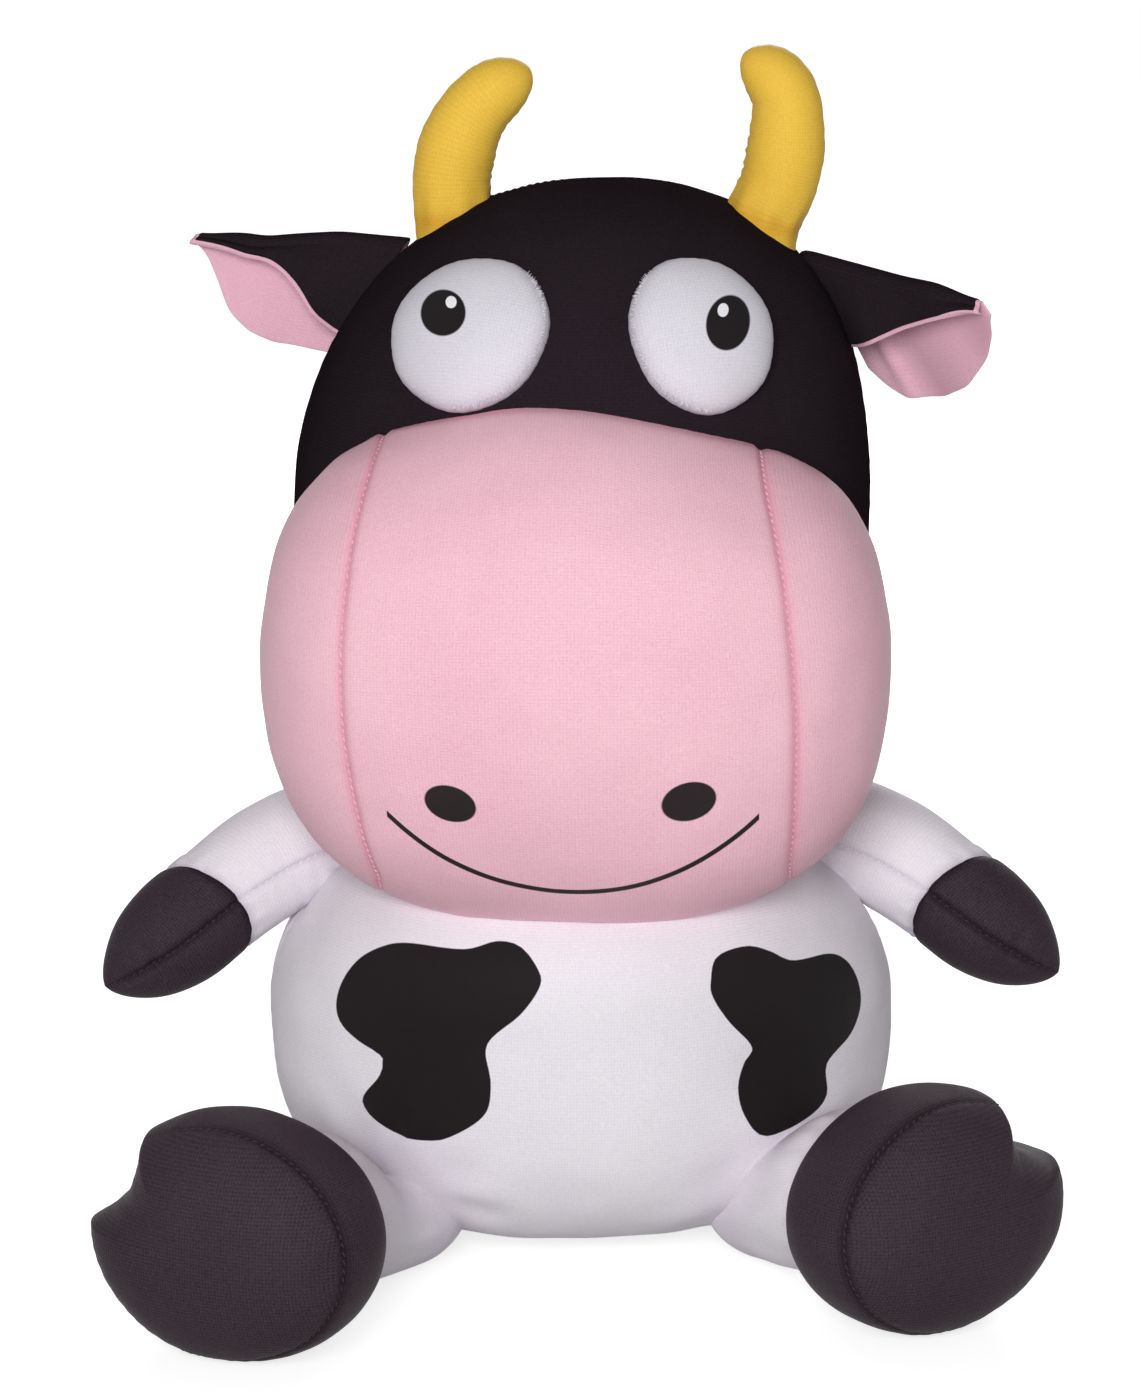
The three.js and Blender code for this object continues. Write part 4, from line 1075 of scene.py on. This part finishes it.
def makeArm(word, side):
    look, hoof, cuff, unit = armLook, armLook["hoof"], armLook["sleeve"], armLook["radius"]
    shoulder = onTorso(look["shoulderAngle"], look["shoulderHeight"])
    shoulder.x -= look["sink"]
    points = [shoulder] + [shoulder + Vector(offset) for offset in look["curve"]]
    spots = [curveSpot(points, step / 200) for step in range(201)]
    lengths = lengthsOf(spots)
    total = lengths[-1]
    where = onBody @ Matrix.Diagonal((side, 1, 1, 1))

    def along(distance):
        spot, run = alongLine(spots, lengths, distance)
        return spot + run * (min(0, distance) + max(0, distance - total)), run

    def radiusAt(distance):
        if distance < 0:
            return look["ball"] * sqrt(max(0, 1 - (distance / look["ball"]) ** 2))
        if distance < cuff - 0.004:
            upper = mix(look["ball"], unit, smooth(distance / 0.020))
            return mix(upper, look["wrist"], smooth((distance - 0.040) / (cuff - 0.040)))
        taper = min(1, max(0, total - distance) / hoof["taper"])
        return (look["wrist"] + 0.0006) * (1 - (1 - taper) ** hoof["round"]) ** hoof["blunt"]

    def tube(isHoof):
        def place(distance, turn):
            if turn is None:
                return along(distance)[0]
            angle = turn + look["seamTurn"]
            # the cuff's seam leans back on the side that faces forward
            lean = look["cuffLean"] * cos(angle) * near(distance - cuff, 0.018)
            spot, run = along(distance - lean)
            across, rise = limbFrame(run)
            radius = radiusAt(distance - lean) - groove(abs(distance - cuff), 0.0009, 0.0014)
            radius += look["full"] * max(0, sin(angle)) * near(distance - 0.024, 0.018)
            # sleeve and hoof both tuck in past the cuff
            tucked = distance < cuff if isHoof else distance > cuff
            end = (0.5 if isHoof else 0.4) if tucked else 1
            radius *= end
            full = end * min(1, radius / 0.006)
            radius -= groove(sideSeam(turn, radius), *(hoof if isHoof else look)["seam"]) * full
            if isHoof:
                aside = abs(remainder(turn, 2 * pi))
                crossing = smooth((hoof["crossReach"] * 1.3 - aside) / (hoof["crossReach"] * 0.5))
                radius -= groove(abs(distance - total + hoof["crossSeam"]), *hoof["cross"]) * crossing * full
            return spot + across * (radius * look["depthShare"] * cos(angle)) + rise * (radius * sin(angle))
        return place

    def sleeveSculpt(point, distance, turn):
        away = sideSeam(turn, unit)
        # the sleeve creases where it is sewn to the body and where it meets the hoof
        root = 0.0009 * sin(turn * 6 + 1.5 * sin(turn * 2)) * near(distance - 0.012, 0.010)
        wrist = 0.0002 * sin(turn * 15) * near(cuff - distance - 0.003, 0.004)
        under = 0.0007 * max(0, -sin(turn)) * sin(distance / 0.0085 * 2 * pi)
        under *= near(distance - 0.020, 0.014)
        # painted shade at the cuff, along the seam and where it is sewn to the body
        creaseShade = max(near(distance - cuff, 0.0020), 0.8 * near(away, 0.0015), 0.6 * near(distance, 0.006))
        return lumpy(point, 0.0006, 11) + gathers(away, distance) + root + wrist + under, creaseShade

    def hoofSculpt(point, distance, turn):
        away = sideSeam(turn, unit)
        reach = min(1, max(0, total - distance) / 0.012)
        offset = lumpy(point, 0.0005, 12) * reach + gathers(away, distance, 0.00025, 0.0047, 0.0034) * reach
        # the second value is painted shade along the seam and at the cuff
        return offset, max(0.7 * near(away, 0.0020), near(distance - cuff, 0.0020))

    turns = seamedTurns(look["columns"], unit * 1.5)
    heading = (points[1] - points[0]).normalized()
    ride = ("torso", f"arm_{word}", where @ (shoulder - heading * 0.004), where @ (shoulder + heading * 0.026))
    rows = [row for row in evenly(-0.0195, cuff - 0.001, look["rows"]) if row < cuff - 0.004]
    rows += [cuff - step for step in besideSeam[::-1]] + [cuff, cuff + 0.0006]
    place = tube(False)
    sleeve = roundForm(f"sleeve_{word}", rows, turns, place, where, sleeveSculpt, (-0.020, cuff + 0.001))
    cloth = dressed(sleeve, whiteKnit, "white_knit", ride, (f"arm_{word}_sleeve", f"arm_{word}_fill"))
    path = [place(row, 0) for row in rows if look["ball"] < row < cuff - 0.002]
    sewn(f"sleeve_{word}_thread", [path], "white", where, *cloth)

    rows = [cuff - 0.0006, cuff] + [cuff + step for step in besideSeam]
    start, count = rows[-1], look["hoofRows"]
    rows += [start + (total - start) * sin(step / count * pi / 2) for step in range(1, count)]
    place = tube(True)
    piece = roundForm(f"hoof_{word}", rows, turns, place, where, hoofSculpt, (cuff - 0.001, total))
    nodes = (f"hoof_{word}_upper_panel", f"hoof_{word}_lower_panel")
    cloth = dressed(piece, hoofKnit, "hoof_knit", f"arm_{word}", nodes)
    reach = hoof["crossReach"]
    cross = [place(total - hoof["crossSeam"], turn) for turn in evenly(-reach, reach, 12)]
    path = [place(row, 0) for row in rows if cuff + 0.001 < row < total - 0.002]
    sewn(f"hoof_{word}_thread", [path, cross], "hoof", where, *cloth)


for word, side in bothSides:
    makeArm(word, side)
print("arms made")

# legs and feet
legLook = {
    "hipHeight": 0.028, "sink": 0.003, "hipSplay": 45, "ball": 0.0275, "radius": 0.027,
    # it narrows and sinks towards the seam on the body
    "root": {"left": 0.0155, "right": 0.0180}, "rootDrop": {"left": 0.0115, "right": 0.0090},
    "taperFrom": {"left": 0.010, "right": -0.007}, "taperRun": 0.048,
    "splay": {"left": 35, "right": 34}, "length": {"left": 0.092, "right": 0.075},
    "ankle": 0.036, "bend": 0.038, "rows": 70, "columns": 96,
}
footLook = {
    "width": 0.094, "height": 0.0775, "thickness": 0.062, "bulge": 2.4, "tilt": 2, "press": 0.0005,
    "splay": {"left": 28, "right": 33}, "seamForward": 0.013, "innerTurn": 3.05, "sewnTurns": (1.1, 5.0, 240),
    "rows": 74, "columns": 168,
    # the round bite out of the rim, and the fold that runs from it
    "biteSpan": 0.035, "biteReach": 0.041, "biteDepth": {"left": 0.0052, "right": 0.0077},
    "biteAngle": {"left": 27, "right": 38}, "fold": {"left": 0.0003, "right": 0.0012},
}


def makeFoot(word, side, hip, where):
    foot = footLook
    yaw, pitch = radians(foot["splay"][word]), radians(foot["tilt"])
    facing = Vector((sin(yaw) * cos(pitch), -cos(yaw) * cos(pitch), sin(pitch)))
    outward = Vector((0, 0, 1)).cross(facing).normalized()
    rise = facing.cross(outward)
    biteDepth, biteAngle = foot["biteDepth"][word], radians(foot["biteAngle"][word])
    biteRadius = ((foot["biteSpan"] / 2) ** 2 + biteDepth ** 2) / (2 * biteDepth)
    biteCentre = foot["biteReach"] + biteRadius - biteDepth
    halfWide, halfTall, halfThick = foot["width"] / 2, foot["height"] / 2, foot["thickness"] / 2
    seamForward, bulge = foot["seamForward"], foot["bulge"]

    # how much of the oval is left beside the bite
    def kept(turn):
        across, up = halfWide * cos(turn), halfTall * sin(turn)
        aside = atan2(up, across) - biteAngle
        inside = biteRadius ** 2 - (biteCentre * sin(aside)) ** 2
        if cos(aside) < 0 or inside < 0:
            return 1
        return min(1, (biteCentre * cos(aside) - sqrt(inside)) / hypot(across, up))

    # the seam draws in on the foot's inner side, and hardly shows on the outer one
    def inner(turn):
        return smooth(0.6 + 0.9 * cos(turn - foot["innerTurn"]))

    def forwardAt(tilt):
        return -bent(cos(tilt), 2 / bulge) * halfThick

    def shape(tilt, turn):
        spot = facing * forwardAt(tilt)
        if turn is None:
            return spot
        left = max(0, sin(tilt)) ** (2 / bulge) * kept(turn)
        dip = groove(abs(forwardAt(tilt) - seamForward), 0.0008) * inner(turn)
        across, up = (halfWide * left - dip) * cos(turn), (halfTall * left - dip) * sin(turn)
        return spot + outward * across + rise * up

    tilts, turns = tiltsOf(foot), turnsOf(foot["columns"])
    lowest = min(shape(tilt, turn).z for tilt in tilts for turn in turns)
    splay, length = radians(legLook["splay"][word]), legLook["length"][word]
    middle = Vector((hip.x + length * sin(splay), hip.y - length * cos(splay), -foot["press"] - lowest))

    def place(tilt, turn):
        return middle + shape(tilt, turn)

    def sculpt(point, tilt, turn):
        away = abs(forwardAt(tilt) - seamForward)
        offset = lumpy(point, 0.0008, 14 + side) + gathers(away, turn * 0.043)
        # a soft fold runs from the bite into the sole
        folded = near(remainder(turn - biteAngle, 2 * pi), 0.10)
        folded *= smooth((sin(tilt) - 0.35) / 0.4) * (1 if tilt > 1.6 else 0.4)
        # painted shade along the seam and in the fold, less on the outer side
        creaseShade = max(near(away, 0.0018), 0.5 * folded) * max(inner(turn), 0.3)
        return offset - foot["fold"][word] * folded, creaseShade

    seamTilt = acos(-((seamForward / halfThick) ** (bulge / 2)))
    tilts = gathered(tilts, (seamTilt,), foot["thickness"] * 0.8)
    piece = roundForm(f"foot_{word}", tilts, turns, place, where, sculpt)
    nodes = (f"foot_{word}_upper", f"foot_{word}_sole")
    cloth = dressed(piece, hoofKnit, "black_knit", f"leg_{word}", nodes)
    plane = where @ (middle + facing * seamForward)
    right, up, normal = (where.to_3x3() @ axis for axis in (outward, rise, facing))
    flatWeave(piece, right, up, lambda face: (face.center - plane).dot(normal) > 0)
    rim = [place(seamTilt, turn) for turn in evenly(*foot["sewnTurns"])]
    sewn(f"foot_{word}_thread", [rim], "hoof", where, *cloth)
    return middle


def makeLeg(word, side):
    look = legLook
    where = onBody @ Matrix.Diagonal((side, 1, 1, 1))
    hip = onTorso(look["hipSplay"], look["hipHeight"])
    nearer = 1 - look["sink"] / hip.length
    hip = Vector((hip.x * nearer, hip.y * nearer, hip.z))
    middle = makeFoot(word, side, hip, where)
    reach, run = (middle - hip).length, (middle - hip).normalized()
    across, up = limbFrame(run)
    ankle = reach - look["ankle"]

    def place(distance, turn):
        spot = hip + run * distance
        tapered = smooth((distance - look["taperFrom"][word]) / look["taperRun"])
        spot.z -= look["rootDrop"][word] * (1 - tapered)
        if turn is None:
            return spot
        radius = mix(look["root"][word], look["radius"], tapered)
        if distance < 0:
            radius *= sqrt(max(0, 1 - (distance / look["ball"]) ** 2))
        return spot + across * (radius * cos(turn)) + up * (radius * sin(turn))

    def sculpt(point, distance, turn):
        # creases fan from the crotch, and the cloth gathers where it is sewn to the foot
        fan = 0.0004 * sin(turn * 7 + 1.2 * sin(turn * 3)) * near(distance - 0.016, 0.012)
        gather = 0.0003 * sin(turn * 18) * near(distance - ankle, 0.008)
        # painted shade at the crotch and where it goes into the foot
        creaseShade = max(0.7 * near(distance, 0.009), 0.7 * smooth((distance - ankle) / 0.008))
        return lumpy(point, 0.0007, 16 + side) + fan + gather, creaseShade

    rows = evenly(-0.0270, reach - 0.010, look["rows"])
    ends = (-0.0275, reach - 0.008)
    sleeve = roundForm(f"leg_cover_{word}", rows, turnsOf(look["columns"]), place, where, sculpt, ends)
    ride = ("torso", f"leg_{word}", where @ hip, where @ (hip + run * look["bend"]))
    dressed(sleeve, whiteKnit, "white_knit", ride, (f"leg_{word}_sleeve", f"leg_{word}_fill"))


for word, side in bothSides:
    makeLeg(word, side)
print("legs made")

# floor, light and background
stageLook = {
    "floor": 6.0, "grey": 0.62, "world": 0.13, "nearGlow": 0.72, "farGlow": 1.0, "near": 0.20, "far": 1.0,
    "aim": (0, 0, 0.18),
    # each lamp's place, size and power
    "key": ((-0.35, -1.90, 0.80), 0.9, 30),
    "fill": ((1.1, -1.5, 0.7), 1.0, 1.5),
    "rear": ((0.3, 1.6, 0.9), 1.2, 20),
}


# 1 for what the camera sees, straight or in a shine or through glass
def seenBy(tree):
    rays = nodeAt(tree, "LightPath").outputs
    seen = calc(tree, "MAXIMUM", rays["Is Camera Ray"], rays["Is Glossy Ray"])
    return calc(tree, "MAXIMUM", seen, rays["Is Transmission Ray"])


def makeStage():
    look = stageLook
    bm = bmesh.new()
    bmesh.ops.create_grid(bm, x_segments=1, y_segments=1, size=look["floor"])
    floor = finished(bm, "floor")
    material, tree, shader = newMaterial("paleFloor")
    # it glows up to white away from the cushion, so that no horizon shows
    far = nodeAt(tree, "VectorMath", {0: nodeAt(tree, "TexCoord").outputs["Object"]}, operation="LENGTH")
    glow = nodeAt(tree, "MapRange", {
        "From Min": look["near"], "From Max": look["far"], "To Min": look["nearGlow"], "To Max": look["farGlow"],
        "Value": far.outputs["Value"],
    }, interpolation_type="SMOOTHSTEP").outputs[0]
    feed(tree, shader, {
        "Base Color": (look["grey"],) * 3 + (1,), "Roughness": 0.9, "Emission Color": (1, 1, 1, 1),
        "Emission Strength": calc(tree, "MULTIPLY", seenBy(tree), glow),
    })
    floor.data.materials.append(material)
    world = bpy.data.worlds.new("studio")
    bpy.context.scene.world = world
    world.use_nodes = True
    tree = world.node_tree
    strength = nodeAt(tree, "MapRange", {"To Min": look["world"], "To Max": 1.0, "Value": seenBy(tree)}).outputs[0]
    feed(tree, tree.nodes["Background"], {"Strength": strength, "Color": (1, 1, 1, 1)})
    for name in ("key", "fill", "rear"):
        place, size, power = look[name]
        lamp = bpy.data.objects.new(name, bpy.data.lights.new(name, "AREA"))
        lamp.data.shape, lamp.data.size, lamp.data.energy = "DISK", size, power
        lamp.location = bodyAxis + Vector(place)
        lamp.rotation_euler = (Vector(look["aim"]) - Vector(place)).to_track_quat("-Z", "Y").to_euler()
        bpy.context.collection.objects.link(lamp)
    bpy.context.scene.view_settings.view_transform = "Standard"


makeStage()
print("stage set")

bpy.context.view_layer.update()
